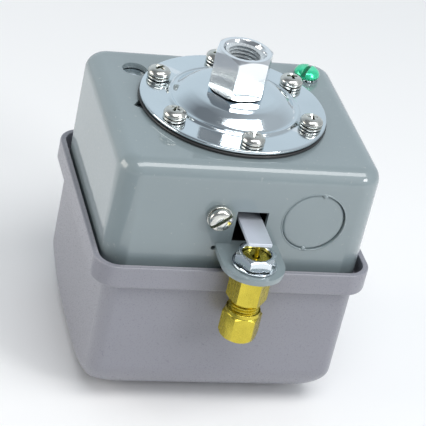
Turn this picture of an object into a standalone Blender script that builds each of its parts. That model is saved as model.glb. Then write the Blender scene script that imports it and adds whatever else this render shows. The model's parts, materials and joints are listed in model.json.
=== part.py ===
"""Diaphragm pressure switch with a release valve, port side up, standing on its plastic cover.

All dimensions below are millimetres in the case frame: X runs along the front wall, Y runs from the
front wall (-Y) to the back wall, Z = 0 is the outside of the steel case's top, and X = Y = 0 is the
port's axis.  place() turns them into metres in the part's frame, whose origin is the middle of the
footprint on the ground.
"""
import math

import bmesh
import bpy
from mathutils import Euler, Matrix, Vector

MM = 0.001
GAP = 0.3                    # clearance kept between neighbouring pieces

# position of the case frame in the part's frame
CASE_TOP = 98.9
CASE_Y = 8.55

# steel case: a drawn box, open towards the cover
CASE_HALF_X = 46.4
CASE_HALF_Y = 40.0
CASE_DEPTH = 44.7
CASE_WALL = 2.0
CASE_CORNER_R = 8.5
CASE_EDGE_R = 5.6
PISTON_HOLE_R = 16.0
TOP_HOLE_AT = (-30.6, 23.8)
TOP_HOLE_R = 4.5
LOCATING_HOLE_AT = (-31.6, -1.0)
LOCATING_HOLE_SIDE = 6.0

# window, bent-out tab and the slot the tab leaves behind in the front wall
VALVE_X = 1.9
VALVE_Y = -51.9
WINDOW_HALF_X = 5.5
WINDOW_TOP = -16.9
TAB_TOP = -29.9
TAB_THICK = 2.0
TAB_R = 11.1
TAB_CENTRE_Y = -50.8
SLOT_HALF_X = 7.2

# conduit knockout, 22.2 mm
KNOCKOUT_AT = (24.1, -20.0)
KNOCKOUT_R = 11.1

# diaphragm, flange and port
FLANGE_R = 33.2
FLANGE_TOP = 2.8
FLANGE_THICK = 1.2
DIAPHRAGM_R = 33.5
DIAPHRAGM_BOTTOM = 0.25
DIAPHRAGM_THICK = 1.1
SCREW_CIRCLE_R = 28.2
SCREW_COUNT = 6
DOME_TOP = 8.0
HEX_ACROSS_FLATS = 18.6
HEX_ANGLE = 6.4
HEX_BOTTOM = 8.3
HEX_TOP = 23.5
PORT_BORE_R = 6.3
PORT_MOUTH_R = 7.2
PORT_BORE_BOTTOM = 11.0
PORT_PASSAGE_R = 3.0

# machine screws
SCREW_HEAD_R = 4.15
SCREW_SHANK_R = 2.0
CLEAR_R = 2.3
GROUND_AT = (34.1, 26.0)
FRONT_SCREW_AT = (-10.0, -18.8)

# release valve, 1/4 inch tube outlet
VALVE_HEX_AF = 12.3
NUT_HEX_AF = 12.7
BRASS_SPIN = 47.5
NUT_SPIN = 2.5
VALVE_NECK_R = 4.6
VALVE_THREAD_R = 5.4
PIN_R = 1.0

# levers
PIVOT_Y = 30.0
PIVOT_Z = -22.9
PIVOT_R = 1.8
LEVER_TOP = -20.5
LEVER_THICK = 1.3
LEVER_HALF_X = 4.2
LEVER_TIP_Y = -53.6
PLATE_TOP = -22.1
PLATE_THICK = 1.6
PLATE_HALF_X = 26.0

# plated frame inside the case
FRAME_TOP = -2.3
FRAME_THICK = 1.6
FRAME_HALF_X = 38.0
FRAME_HALF_Y = 33.0

# springs, studs and post
RANGE_AT = (-16.0, 12.0)
DIFFERENTIAL_AT = (16.0, 12.0)
POST_AT = (0.0, 19.0)

# contact block
BLOCK_TOP = -34.2
BLOCK_BOTTOM = -44.2
BLOCK_HALF_X = 34.5
BLOCK_FRONT = -34.0
BLOCK_BACK = -10.0
POLE_X = (-23.0, -9.0, 9.0, 23.0)
CONTACT_Y = -14.0
TERMINAL_SCREW_Y = -28.0

# plastic cover
RIM_HALF_X = 49.5
RIM_HALF_Y = 44.8
RIM_CORNER_R = 8.8
RIM_TOP = -38.3
RIM_BOTTOM = -46.9
COVER_WALL = 2.1
LEDGE_Z = -45.0
BODY_HALF_X = 45.1
BODY_HALF_Y = 42.6
BODY_CORNER_R = 5.2
END_EDGE_R = 8.4
END_FLAT_HALF_Y = 11.0       # the end wall is flat this far each side of its middle,
END_RADIUS = 58.0            # then curves across Y with this radius


def place(x, y, z):
    """Case frame in millimetres to the part's frame in metres."""
    return Vector((x * MM, (y + CASE_Y) * MM, (z + CASE_TOP) * MM))


# ---------------------------------------------------------------- scene, collections, materials

def clear_scene():
    for obj in list(bpy.data.objects):
        bpy.data.objects.remove(obj, do_unlink=True)
    for coll in list(bpy.data.collections):
        bpy.data.collections.remove(coll)


clear_scene()
PARTS = bpy.data.collections.new("pressure_switch")
CUTTERS = bpy.data.collections.new("cutters")
bpy.context.scene.collection.children.link(PARTS)
bpy.context.scene.collection.children.link(CUTTERS)


def material(name, rgb, rough, metal):
    mat = bpy.data.materials.new(name)
    mat.use_nodes = True
    bsdf = mat.node_tree.nodes["Principled BSDF"]
    bsdf.inputs["Base Color"].default_value = (*rgb, 1.0)
    bsdf.inputs["Roughness"].default_value = rough
    bsdf.inputs["Metallic"].default_value = metal
    mat.diffuse_color = (*rgb, 1.0)
    return mat


LOOKS = {
    "enamel": ((0.27, 0.33, 0.34), 0.30, 0.0),
    "cover_plastic": ((0.26, 0.26, 0.30), 0.50, 0.0),
    "zinc": ((0.72, 0.75, 0.78), 0.25, 1.0),
    "screw_steel": ((0.62, 0.62, 0.60), 0.30, 1.0),
    "lever_steel": ((0.50, 0.51, 0.56), 0.32, 1.0),
    "brass": ((0.75, 0.62, 0.14), 0.28, 1.0),
    "green_screw": ((0.03, 0.42, 0.19), 0.30, 0.3),
    "rubber": ((0.02, 0.02, 0.02), 0.60, 0.0),
    "phenolic": ((0.03, 0.03, 0.03), 0.45, 0.0),
    "spring_steel": ((0.45, 0.45, 0.45), 0.35, 1.0),
    "silver": ((0.80, 0.78, 0.72), 0.25, 1.0),
}


def dress(obj, look):
    """Give an object its own material of the named look."""
    rgb, rough, metal = LOOKS[look]
    obj.data.materials.clear()
    obj.data.materials.append(material(obj.name + "_" + look, rgb, rough, metal))


# ---------------------------------------------------------------- shape helpers

def add_object(name, mesh, at, look=None, rot=(0.0, 0.0, 0.0)):
    """Link a mesh as a part (with a look) or as a cutter (without one)."""
    obj = bpy.data.objects.new(name, mesh)
    obj.location = place(*at)
    obj.rotation_euler = Euler([math.radians(a) for a in rot])
    if look:
        PARTS.objects.link(obj)
        dress(obj, look)
    else:
        CUTTERS.objects.link(obj)
        obj.hide_render = True
        obj.display_type = 'WIRE'
    return obj


def mesh_from(name, bm):
    """Finish a bmesh drawn in millimetres."""
    bmesh.ops.scale(bm, vec=(MM, MM, MM), verts=bm.verts)
    bmesh.ops.recalc_face_normals(bm, faces=bm.faces)
    mesh = bpy.data.meshes.new(name)
    bm.to_mesh(mesh)
    bm.free()
    return mesh


def smooth(obj, angle=35.0):
    obj.data.shade_smooth()
    obj.data.set_sharp_from_angle(angle=math.radians(angle))


def block(name, lo, hi, look=None, bevel=0.0, segments=2, origin=None, rot=(0.0, 0.0, 0.0)):
    """Box between two corners; its origin is its middle unless one is given."""
    lo, hi = Vector(lo), Vector(hi)
    mid = (lo + hi) / 2
    origin = Vector(origin) if origin else mid
    size = hi - lo
    bm = bmesh.new()
    bmesh.ops.create_cube(bm, size=1.0)
    bmesh.ops.scale(bm, vec=size, verts=bm.verts)
    if bevel:
        bmesh.ops.bevel(bm, geom=bm.edges[:], offset=bevel, segments=segments, profile=0.5, affect='EDGES')
    bmesh.ops.translate(bm, vec=mid - origin, verts=bm.verts)
    return add_object(name, mesh_from(name, bm), origin, look, rot)


def rod(name, radius, z0, z1, at=(0.0, 0.0), look=None, segments=16, rot=(0.0, 0.0, 0.0), spin=0.0):
    """Upright cylinder or prism between two heights."""
    bm = bmesh.new()
    turn = Matrix.Rotation(math.radians(spin), 4, 'Z')
    bmesh.ops.create_cone(bm, cap_ends=True, segments=segments, radius1=radius, radius2=radius,
                          depth=z1 - z0, matrix=turn)
    obj = add_object(name, mesh_from(name, bm), (at[0], at[1], (z0 + z1) / 2), look, rot)
    return obj


def rod_along_y(name, radius, y0, y1, at, look=None, segments=16):
    """Cylinder through the front wall; at is (x, z)."""
    bm = bmesh.new()
    bmesh.ops.create_cone(bm, cap_ends=True, segments=segments, radius1=radius, radius2=radius, depth=y1 - y0,
                          matrix=Matrix.Rotation(math.radians(90.0), 4, 'X'))
    return add_object(name, mesh_from(name, bm), (at[0], (y0 + y1) / 2, at[1]), look)


def hex_radius(across_flats):
    return across_flats / math.sqrt(3.0)


def turned(name, profile, at, look=None, steps=22, rot=(0.0, 0.0, 0.0), closed=False):
    """Solid of revolution from (radius, height) points running down the outer side.

    An open profile starts and ends on the axis; a closed one is a ring's section.
    """
    mesh = bpy.data.meshes.new(name)
    verts = [(r * MM, 0.0, z * MM) for r, z in profile]
    edges = [(i, i + 1) for i in range(len(verts) - 1)]
    if closed:
        edges.append((len(verts) - 1, 0))
    mesh.from_pydata(verts, edges, [])
    obj = add_object(name, mesh, at, look, rot)
    screw = obj.modifiers.new("turn", 'SCREW')
    screw.axis = 'Z'
    screw.angle = math.radians(360.0)
    screw.steps = steps
    screw.render_steps = steps
    screw.use_merge_vertices = True
    screw.merge_threshold = 0.00001
    screw.use_smooth_shade = True
    return obj


def boolean(obj, other, operation='DIFFERENCE'):
    mod = obj.modifiers.new(other.name, 'BOOLEAN')
    mod.operation = operation
    mod.object = other
    mod.solver = 'EXACT'
    return mod


def cut(obj, *others):
    for other in others:
        boolean(obj, other, 'DIFFERENCE')


def join(obj, *others):
    for other in others:
        boolean(obj, other, 'UNION')


def baked_mesh(obj, name):
    """Mesh of an object with its modifiers, to be shared by its copies."""
    bpy.context.view_layer.update()
    graph = bpy.context.evaluated_depsgraph_get()
    mesh = bpy.data.meshes.new_from_object(obj.evaluated_get(graph))
    mesh.name = name
    return mesh


def copies(first, names, placings, look):
    """Further objects that share the finished mesh of the first one."""
    shared = baked_mesh(first, names[0])
    made = []
    for name, (at, rot) in zip(names, placings):
        obj = bpy.data.objects.new(name, shared)
        obj.location = place(*at)
        obj.rotation_euler = Euler([math.radians(a) for a in rot])
        PARTS.objects.link(obj)
        made.append(obj)
    dress(made[0], look)
    return made


def spring(name, coil_r, wire_r, z_low, z_high, turns, at, look, origin_z):
    """Compression spring of round wire; its centre line ends one wire radius inside both heights."""
    per_turn = 10
    count = int(turns * per_turn)
    rise = (z_high - z_low) - 2 * wire_r
    curve = bpy.data.curves.new(name, 'CURVE')
    curve.dimensions = '3D'
    line = curve.splines.new('POLY')
    line.points.add(count)
    for i in range(count + 1):
        angle = 2 * math.pi * i / per_turn
        # the end turns lie nearly flat, the pitch is taken up between them
        t = i / count
        eased = t - 0.75 * math.sin(2 * math.pi * t) / (2 * math.pi)
        z = z_low + wire_r + rise * eased - origin_z
        line.points[i].co = (coil_r * math.cos(angle) * MM, coil_r * math.sin(angle) * MM, z * MM, 1.0)
    curve.bevel_depth = wire_r * MM
    curve.bevel_resolution = 1
    curve.use_fill_caps = True
    obj = bpy.data.objects.new(name, curve)
    obj.location = place(at[0], at[1], origin_z)
    PARTS.objects.link(obj)
    dress(obj, look)
    return obj


# ---------------------------------------------------------------- steel case

def build_case():
    bm = bmesh.new()
    bmesh.ops.create_cube(bm, size=1.0)
    bmesh.ops.scale(bm, vec=(2 * CASE_HALF_X, 2 * CASE_HALF_Y, CASE_DEPTH), verts=bm.verts)
    bmesh.ops.translate(bm, vec=(0, 0, -CASE_DEPTH / 2), verts=bm.verts)
    upright = [e for e in bm.edges if abs(e.verts[0].co.z - e.verts[1].co.z) > 1.0]
    bmesh.ops.bevel(bm, geom=upright, offset=CASE_CORNER_R, segments=5, profile=0.5, affect='EDGES')
    bottom = [f for f in bm.faces if f.calc_center_median().z < -CASE_DEPTH + 0.1]
    bmesh.ops.delete(bm, geom=bottom, context='FACES')
    top_edges = [e for e in bm.edges if all(abs(v.co.z) < 0.01 for v in e.verts) and len(e.link_faces) == 2]
    bmesh.ops.bevel(bm, geom=top_edges, offset=CASE_EDGE_R, segments=3, profile=0.5, affect='EDGES')
    case = add_object("case", mesh_from("case", bm), (0, 0, 0), "enamel")
    shell = case.modifiers.new("wall", 'SOLIDIFY')
    shell.thickness = CASE_WALL * MM
    shell.offset = -1.0
    shell.use_even_offset = True
    shell.use_rim = True

    front_out = -CASE_HALF_Y
    tab = block("tab_plate", (VALVE_X - TAB_R, TAB_CENTRE_Y, TAB_TOP - TAB_THICK),
                (VALVE_X + TAB_R, front_out + CASE_WALL, TAB_TOP))
    tab_end = rod("tab_end", TAB_R, TAB_TOP - TAB_THICK, TAB_TOP, (VALVE_X, TAB_CENTRE_Y), segments=32)
    join(case, tab, tab_end)

    window = block("window_cut", (VALVE_X - WINDOW_HALF_X, front_out - 2, TAB_TOP),
                   (VALVE_X + WINDOW_HALF_X, front_out + 6, WINDOW_TOP))
    slot = block("slot_cut", (VALVE_X - SLOT_HALF_X, front_out - 2, -CASE_DEPTH - 2),
                 (VALVE_X + SLOT_HALF_X, front_out + 6, TAB_TOP - TAB_THICK))
    cut(case, window, slot)
    for side in (-1, 1):
        relief = rod_along_y("relief_cut_%d" % (side + 2), 0.9, front_out - 2, front_out + 6,
                             (VALVE_X + side * (TAB_R + 0.2), TAB_TOP - TAB_THICK), segments=10)
        cut(case, relief)
    cut(case, rod("tab_hole_cut", VALVE_NECK_R + GAP, TAB_TOP - 6, TAB_TOP + 4, (VALVE_X, VALVE_Y), segments=22))

    cut(case, rod("piston_hole_cut", PISTON_HOLE_R, -8, 4, segments=32))
    cut_screw_holes(case, -8, 4, "case")
    cut(case, rod("top_hole_cut", TOP_HOLE_R, -8, 4, TOP_HOLE_AT, segments=22))
    cut(case, rod("ground_hole_cut", CLEAR_R, -8, 4, GROUND_AT, segments=10))
    cut(case, rod("locating_hole_cut", LOCATING_HOLE_SIDE / math.sqrt(2), -8, 4, LOCATING_HOLE_AT, segments=4,
                  spin=12.0))
    cut(case, rod_along_y("front_screw_cut", CLEAR_R, front_out - 2, front_out + 6, FRONT_SCREW_AT, segments=10))
    cut(case, rod_along_y("knockout_cut", KNOCKOUT_R, front_out - 2, front_out + 6, KNOCKOUT_AT, segments=32))
    return case


def build_knockout():
    """Slug left standing in its punched ring, held by two small bridges."""
    y0 = -CASE_HALF_Y + 0.35
    slug = rod_along_y("knockout_slug", KNOCKOUT_R - GAP, y0, y0 + CASE_WALL - 0.35, KNOCKOUT_AT, "enamel",
                       segments=32)
    for k, angle in enumerate((80.0, 262.0)):
        a = math.radians(angle)
        r = KNOCKOUT_R - 0.9
        nub = block("bridge_nub_%d" % k,
                    (KNOCKOUT_AT[0] + r * math.cos(a) - 0.8, y0 - 0.7, KNOCKOUT_AT[1] + r * math.sin(a) - 0.5),
                    (KNOCKOUT_AT[0] + r * math.cos(a) + 0.8, y0 + 0.6, KNOCKOUT_AT[1] + r * math.sin(a) + 0.5))
        join(slug, nub)
    return slug


# ---------------------------------------------------------------- diaphragm, flange, port

def screw_ring(angle_offset=30.0):
    for k in range(SCREW_COUNT):
        a = math.radians(angle_offset + 360.0 / SCREW_COUNT * k)
        yield k + 1, SCREW_CIRCLE_R * math.cos(a), SCREW_CIRCLE_R * math.sin(a)


def cut_screw_holes(obj, z0, z1, tag):
    for k, x, y in screw_ring():
        cut(obj, rod("%s_hole_%d" % (tag, k), CLEAR_R, z0, z1, (x, y), segments=10, spin=7.0))


def build_diaphragm():
    low = DIAPHRAGM_BOTTOM
    high = low + DIAPHRAGM_THICK
    lift = 0.9                                # convolution between the clamped rim and the piston
    profile = [(0, high), (17.5, high), (19.0, high + lift), (20.5, high), (DIAPHRAGM_R, high),
               (DIAPHRAGM_R, low), (20.8, low), (19.0, low + lift), (17.2, low), (0, low)]
    disc = turned("diaphragm", profile, (0, 0, 0), "rubber", steps=30)
    cut_screw_holes(disc, -3, 5, "diaphragm")
    return disc


def build_flange():
    under = FLANGE_TOP - FLANGE_THICK
    outer = [(6.6, DOME_TOP), (13.8, DOME_TOP - 0.2), (16.2, DOME_TOP - 0.7), (18.2, DOME_TOP - 1.8),
             (19.8, 4.9), (21.1, 3.8), (22.0, 3.4), (22.5, 3.6), (22.9, 3.7), (23.4, 3.5), (23.9, FLANGE_TOP),
             (FLANGE_R - 0.5, FLANGE_TOP), (FLANGE_R, FLANGE_TOP - 0.4)]
    inner = [(FLANGE_R, under), (22.4, under), (21.3, under + 0.6), (19.6, 3.2), (18.0, 4.6), (16.2, 5.7),
             (13.6, DOME_TOP - 1.5), (6.6, DOME_TOP - 1.3)]
    flange = turned("pressure_flange", outer + inner, (0, 0, 0), "zinc", steps=32, closed=True)
    cut_screw_holes(flange, 0, 6, "flange")
    return flange


def build_port():
    top = rod("port_fitting", hex_radius(HEX_ACROSS_FLATS), HEX_BOTTOM, HEX_TOP, look="zinc", segments=6,
              spin=HEX_ANGLE)
    envelope = turned("port_envelope", [(0, HEX_TOP), (9.1, HEX_TOP), (11.0, HEX_TOP - 1.3), (11.0, HEX_BOTTOM),
                                        (0, HEX_BOTTOM)], (0, 0, 0), steps=32)
    boolean(top, envelope, 'INTERSECT')
    neck = rod("port_neck", 6.2, DOME_TOP - 2.6, HEX_BOTTOM + 0.5, segments=24)
    join(top, neck)
    # taper-threaded mouth and the drilled passage to the diaphragm
    bore = turned("port_bore", [(0, HEX_TOP + 1), (PORT_MOUTH_R + 0.9, HEX_TOP + 1), (PORT_MOUTH_R - 0.1, HEX_TOP),
                                (PORT_BORE_R, HEX_TOP - 0.9), (PORT_BORE_R, PORT_BORE_BOTTOM),
                                (PORT_PASSAGE_R, PORT_BORE_BOTTOM - 1.8), (PORT_PASSAGE_R, 3.0), (0, 3.0)],
                  (0, 0, 0), steps=24)
    cut(top, bore)
    return top


# ---------------------------------------------------------------- fasteners

def cross_recess(screw, tag, top_z, depth, length, width):
    """Two crossed slots in a screw head, drawn in the screw's own axes."""
    for k, (lx, ly) in enumerate(((length, width), (width, length))):
        arm = block("%s_recess_%d" % (tag, k), (-lx / 2, -ly / 2, top_z - depth), (lx / 2, ly / 2, top_z + 2))
        arm.location += screw.location - place(0, 0, 0)
        arm.rotation_euler = screw.rotation_euler
        cut(screw, arm)


def build_flange_screws():
    head = 2.65
    under = FLANGE_TOP + 1.35
    profile = [(0, head), (1.6, head), (3.1, head - 0.35), (3.9, head - 1.0), (SCREW_HEAD_R, head - 1.7),
               (SCREW_HEAD_R, 0.0), (SCREW_SHANK_R, 0.0), (SCREW_SHANK_R, -9.0), (1.5, -9.6), (0, -9.6)]
    placings = [((x, y, under), (0, 0, 17.0 * k)) for k, x, y in screw_ring()]
    first = turned("flange_screw_1", profile, placings[0][0], "screw_steel", steps=14, rot=placings[0][1])
    cross_recess(first, "flange_screw", head, 1.5, 4.4, 1.0)
    names = ["flange_screw_%d" % k for k in range(2, SCREW_COUNT + 1)]
    copies(first, names, placings[1:], "screw_steel")

    low = 0.15
    high = 1.15
    ring = [(4.1, high), (4.1, low), (CLEAR_R, low), (CLEAR_R, high)]
    placings = [((x, y, FLANGE_TOP), (0, 0, 40.0 + 53.0 * k)) for k, x, y in screw_ring()]
    first = turned("flange_lock_washer_1", ring, placings[0][0], "screw_steel", steps=14, rot=placings[0][1],
                   closed=True)
    split = block("washer_split", (1.5, -0.3, -1.0), (6.0, 0.3, 3.0), origin=(0, 0, 0))
    split.location = first.location
    split.rotation_euler = Euler((math.radians(18.0), 0, first.rotation_euler.z))
    cut(first, split)
    names = ["flange_lock_washer_%d" % k for k in range(2, SCREW_COUNT + 1)]
    copies(first, names, placings[1:], "screw_steel")


def toothed_ring(name, r_in, r_out, root, tooth_count, z0, z1, at, look, teeth_inside):
    """Lock washer with square teeth on its inner or outer side."""
    ring = [(r_out, z1), (r_out, z0), (r_in, z0), (r_in, z1)]
    washer = turned(name, ring, (at[0], at[1], 0.0), look, steps=26, closed=True)
    for k in range(tooth_count):
        a = 360.0 / tooth_count * (k + 0.5)
        lo, hi = (r_in - 1.0, root) if teeth_inside else (root, r_out + 1.0)
        width = 0.5 * math.pi * min(r_in + 1.0, root) / tooth_count
        notch = block("%s_notch_%d" % (name, k), (lo, -width, z0 - 1), (hi, width, z1 + 1), origin=(0, 0, 0))
        notch.location = washer.location
        notch.rotation_euler = Euler((0, 0, math.radians(a)))
        cut(washer, notch)
    return washer


def slotted_screw(name, head_r, head_h, length, at, look, rot, slot_spin, slot_width=1.1, crown=0.5, steps=18,
                  shank_r=SCREW_SHANK_R):
    """Slotted screw whose head's underside is at its origin, head towards local +Z."""
    profile = [(0, head_h), (head_r * 0.55, head_h - crown * 0.25), (head_r * 0.88, head_h - crown),
               (head_r, head_h - crown * 1.9), (head_r, 0.0), (shank_r, 0.0), (shank_r, -length + 0.5),
               (shank_r - 0.5, -length), (0, -length)]
    screw = turned(name, profile, at, look, steps=steps, rot=rot)
    slot = block(name + "_slot", (-head_r - 1, -slot_width / 2, head_h * 0.48), (head_r + 1, slot_width / 2,
                                                                              head_h + 2), origin=(0, 0, 0))
    slot.location = screw.location
    turn = Euler([math.radians(a) for a in rot]).to_matrix() @ Matrix.Rotation(math.radians(slot_spin), 3, 'Z')
    slot.rotation_euler = turn.to_euler()
    cut(screw, slot)
    return screw


def build_outer_screws():
    slotted_screw("ground_screw", 4.7, 3.2, 7.5, (GROUND_AT[0], GROUND_AT[1], 1.15), "green_screw", (0, 0, 0),
                  55.0, slot_width=1.3, crown=0.8)
    toothed_ring("ground_lock_washer", CLEAR_R, 4.5, 3.3, 12, 0.2, 0.95, GROUND_AT, "zinc", False)
    x, z = FRONT_SCREW_AT
    wall = -CASE_HALF_Y
    slotted_screw("front_screw", 4.2, 2.5, 7.5, (x, wall - 1.9, z), "screw_steel", (90, 0, 0), 38.0,
                  slot_width=1.2)
    washer = turned("front_washer", [(4.4, 1.6), (4.4, 0.2), (CLEAR_R, 0.2), (CLEAR_R, 1.6)], (x, wall, z),
                    "screw_steel", steps=22, rot=(90, 0, 0), closed=True)
    return washer


# ---------------------------------------------------------------- release valve

def build_valve():
    """Valve on the bent-out tab; its heights are counted from the tab's upper face."""
    at = (VALVE_X, VALVE_Y)
    base = TAB_TOP
    axis = (at[0], at[1], base)
    seat = -TAB_THICK - GAP
    hex_low = -13.6
    radius = hex_radius(VALVE_HEX_AF)
    body = rod("valve_body", radius, base + hex_low, base + seat, at, "brass", segments=6, spin=BRASS_SPIN)
    envelope = turned("valve_envelope", [(0, seat), (6.7, seat), (7.3, seat - 0.6), (7.3, hex_low + 0.2),
                                         (5.6, hex_low - 0.8), (0, hex_low - 0.8)], axis, steps=26)
    boolean(body, envelope, 'INTERSECT')
    neck = rod("valve_neck", VALVE_NECK_R, base + seat - 1.0, base + 3.1, at, segments=22)
    tail = turned("valve_tail", [(0, hex_low + 1), (5.0, hex_low + 1), (5.0, -14.6), (VALVE_THREAD_R, -15.0),
                                 (VALVE_THREAD_R, -21.8), (4.4, -23.0), (0, -23.0)], axis, steps=22)
    join(body, neck, tail)
    # pin guide, spring chamber, passage and tube socket
    passage = turned("valve_passage", [(0, 9.0), (PIN_R + 0.4, 9.0), (PIN_R + 0.4, -0.6), (2.9, -1.4),
                                       (2.9, -12.6), (1.5, -13.6), (1.5, -15.6), (3.3, -15.6), (3.3, -26.6),
                                       (0, -26.6)], axis, steps=16)
    cut(body, passage)

    disc_top = -2.0
    pin_top = LEVER_TOP - LEVER_THICK - GAP - base
    turned("valve_pin", [(0, pin_top), (0.6, pin_top), (PIN_R, pin_top - 0.5), (PIN_R, disc_top), (2.5, disc_top),
                         (2.5, disc_top - 1.2), (0.9, disc_top - 1.2), (0.9, disc_top - 5.0), (0, disc_top - 5.0)],
           axis, "brass", steps=14)
    spring("valve_spring", 2.0, 0.35, base - 12.3, base + disc_top - 1.5, 4, at, "spring_steel", base - 12.3)

    nut = rod("valve_nut", hex_radius(NUT_HEX_AF), base + 1.0, base + 5.0, at, "zinc", segments=6, spin=NUT_SPIN)
    nut_env = turned("valve_nut_envelope", [(0, 5.0), (6.0, 5.0), (7.4, 4.1), (7.4, 1.4), (6.6, 1.0), (0, 1.0)],
                     axis, steps=26)
    boolean(nut, nut_env, 'INTERSECT')
    bore = turned("valve_nut_bore", [(0, 6.4), (6.3, 6.4), (4.9, 4.5), (4.9, 1.5), (5.4, -0.6), (0, -0.6)], axis,
                  steps=22)
    cut(nut, bore)
    toothed_ring("valve_lock_washer", 5.0, 7.8, 6.7, 8, TAB_TOP + 0.2, TAB_TOP + 0.75, at, "zinc", True)

    low = -29.4
    high = -17.6
    comp = rod("compression_nut", radius, base + low, base + high, at, "brass", segments=6, spin=BRASS_SPIN)
    comp_env = turned("compression_envelope", [(0, high), (6.1, high), (6.1, high - 1.6), (7.3, high - 2.4),
                                               (7.3, low + 2.2), (6.3, low + 0.6), (5.2, low), (0, low)], axis,
                      steps=26)
    boolean(comp, comp_env, 'INTERSECT')
    comp_bore = turned("compression_bore", [(0, high + 1), (6.2, high + 1), (5.7, high - 0.4), (5.7, -26.2),
                                            (3.6, -27.8), (3.6, low - 1), (0, low - 1)], axis, steps=22)
    cut(comp, comp_bore)
    turned("ferrule", [(3.9, -23.5), (4.6, -24.2), (4.4, -25.8), (3.7, -26.8), (3.3, -26.8), (3.3, -23.5)], axis,
           "brass", steps=18, closed=True)


# ---------------------------------------------------------------- levers

def build_levers():
    """Both levers turn about the pivot pin, so their origins lie on it."""
    axis = (0.0, PIVOT_Y, PIVOT_Z)
    block("release_lever", (VALVE_X - LEVER_HALF_X, LEVER_TIP_Y, LEVER_TOP - LEVER_THICK),
          (VALVE_X + LEVER_HALF_X, -4.8, LEVER_TOP), "lever_steel", origin=axis)
    lever = bpy.data.objects["release_lever"]
    low = PLATE_TOP - PLATE_THICK
    inside = PLATE_HALF_X - 0.2
    plate = block("main_lever", (-inside, -20.0, low), (inside, 26.0, PLATE_TOP), "zinc", origin=axis)
    for k, side in enumerate((-1, 1)):
        x0, x1 = sorted((side * (PLATE_HALF_X - 1.6), side * PLATE_HALF_X))
        join(plate, block("lever_flange_%d" % k, (x0, -19.7, low - 3.4), (x1, PIVOT_Y + 2.0, low + 0.8)))
        join(plate, block("lever_ear_%d" % k, (x0 + 0.1, PIVOT_Y - 5.0, low - 3.1),
                          (x1 - 0.1, PIVOT_Y + 4.5, PIVOT_Z + 4.2)))
    pin_cut = rod("lever_pin_cut", PIVOT_R + GAP, -40, 40, look=None, segments=14)
    pin_cut.location = place(*axis)
    pin_cut.rotation_euler = Euler((0, math.radians(90), 0))
    cut(plate, pin_cut)
    cut(plate, rod("lever_range_cut", 3.6, -30, -10, RANGE_AT, segments=14))
    cut(plate, rod("lever_differential_cut", 3.2, -30, -10, DIFFERENTIAL_AT, segments=14))
    cut(plate, rod("lever_post_cut", 3.8, -30, -10, POST_AT, segments=14))
    rivet_at = (VALVE_X, -8.0)
    rivet_cut = rod("rivet_cut", 1.8, -30, -10, rivet_at, segments=10)
    cut(plate, rivet_cut)
    cut(lever, rivet_cut)
    turned("lever_rivet", [(0, 1.6), (1.5, 1.4), (2.6, 0.25), (1.5, 0.25), (1.5, -3.4), (2.4, -3.4), (2.4, -4.4),
                           (0, -4.4)], (rivet_at[0], rivet_at[1], LEVER_TOP), "zinc", steps=14)
    pin = rod("pivot_pin", PIVOT_R, -30.8, 30.8, look="spring_steel", segments=14)
    pin.location = place(*axis)
    pin.rotation_euler = Euler((0, math.radians(90), 0))


# ---------------------------------------------------------------- frame, piston, studs

def build_frame():
    low = FRAME_TOP - FRAME_THICK
    frame = block("mechanism_frame", (-FRAME_HALF_X, -FRAME_HALF_Y, low),
                  (FRAME_HALF_X, FRAME_HALF_Y + 1.6, FRAME_TOP), "zinc")
    for k, side in enumerate((-1, 1)):
        ear = sorted((side * (PLATE_HALF_X + 0.8), side * (PLATE_HALF_X + 2.4)))
        join(frame, block("pivot_ear_%d" % k, (ear[0], PIVOT_Y - 5, PIVOT_Z - 4.5), (ear[1], PIVOT_Y + 5, low + 0.8)))
        leg = sorted((side * (FRAME_HALF_X - 1.8), side * (FRAME_HALF_X - 0.2)))
        join(frame, block("block_leg_%d" % k, (leg[0], -27.7, BLOCK_TOP + 0.6), (leg[1], -16.3, low + 0.8)))
        foot = sorted((side * 27.5, side * (FRAME_HALF_X - 0.6)))
        join(frame, block("block_foot_%d" % k, (foot[0], -28, BLOCK_TOP + 0.3), (foot[1], -16, BLOCK_TOP + 1.9)))
        cut(frame, rod("foot_cut_%d" % k, 2.0, BLOCK_TOP - 2, BLOCK_TOP + 4, (side * 31.2, -22.0), segments=10))
    # stepped tab that the front screw holds to the front wall
    x = FRONT_SCREW_AT[0]
    back = -CASE_HALF_Y + CASE_WALL + GAP
    join(frame, block("tab_drop", (x - 4.5, -34.6, -12.0), (x + 4.5, -32.4, FRAME_TOP - 0.4)))
    join(frame, block("tab_step", (x - 4.5, back, -12.0), (x + 4.5, -33.4, -10.4)))
    join(frame, block("tab_face", (x - 4.5, back, -23.2), (x + 4.5, back + 1.6, -11.0)))
    cut(frame, rod_along_y("frame_front_cut", CLEAR_R, back - 3, back + 4, FRONT_SCREW_AT, segments=10))
    cut(frame, rod("frame_piston_cut", PISTON_HOLE_R - 0.5, -8, 2, segments=30))
    cut_screw_holes(frame, -8, 2, "frame")
    cut(frame, rod("frame_ground_cut", CLEAR_R, -8, 2, GROUND_AT, segments=10, spin=7.0))
    for tag, at in (("range", RANGE_AT), ("differential", DIFFERENTIAL_AT), ("post", POST_AT)):
        cut(frame, rod("frame_%s_cut" % tag, 2.1, -8, 2, at, segments=10))
    pin_cut = rod("frame_pin_cut", PIVOT_R + GAP, -40, 40, segments=14)
    pin_cut.location = place(0.0, PIVOT_Y, PIVOT_Z)
    pin_cut.rotation_euler = Euler((0, math.radians(90), 0))
    cut(frame, pin_cut)
    return frame


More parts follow.
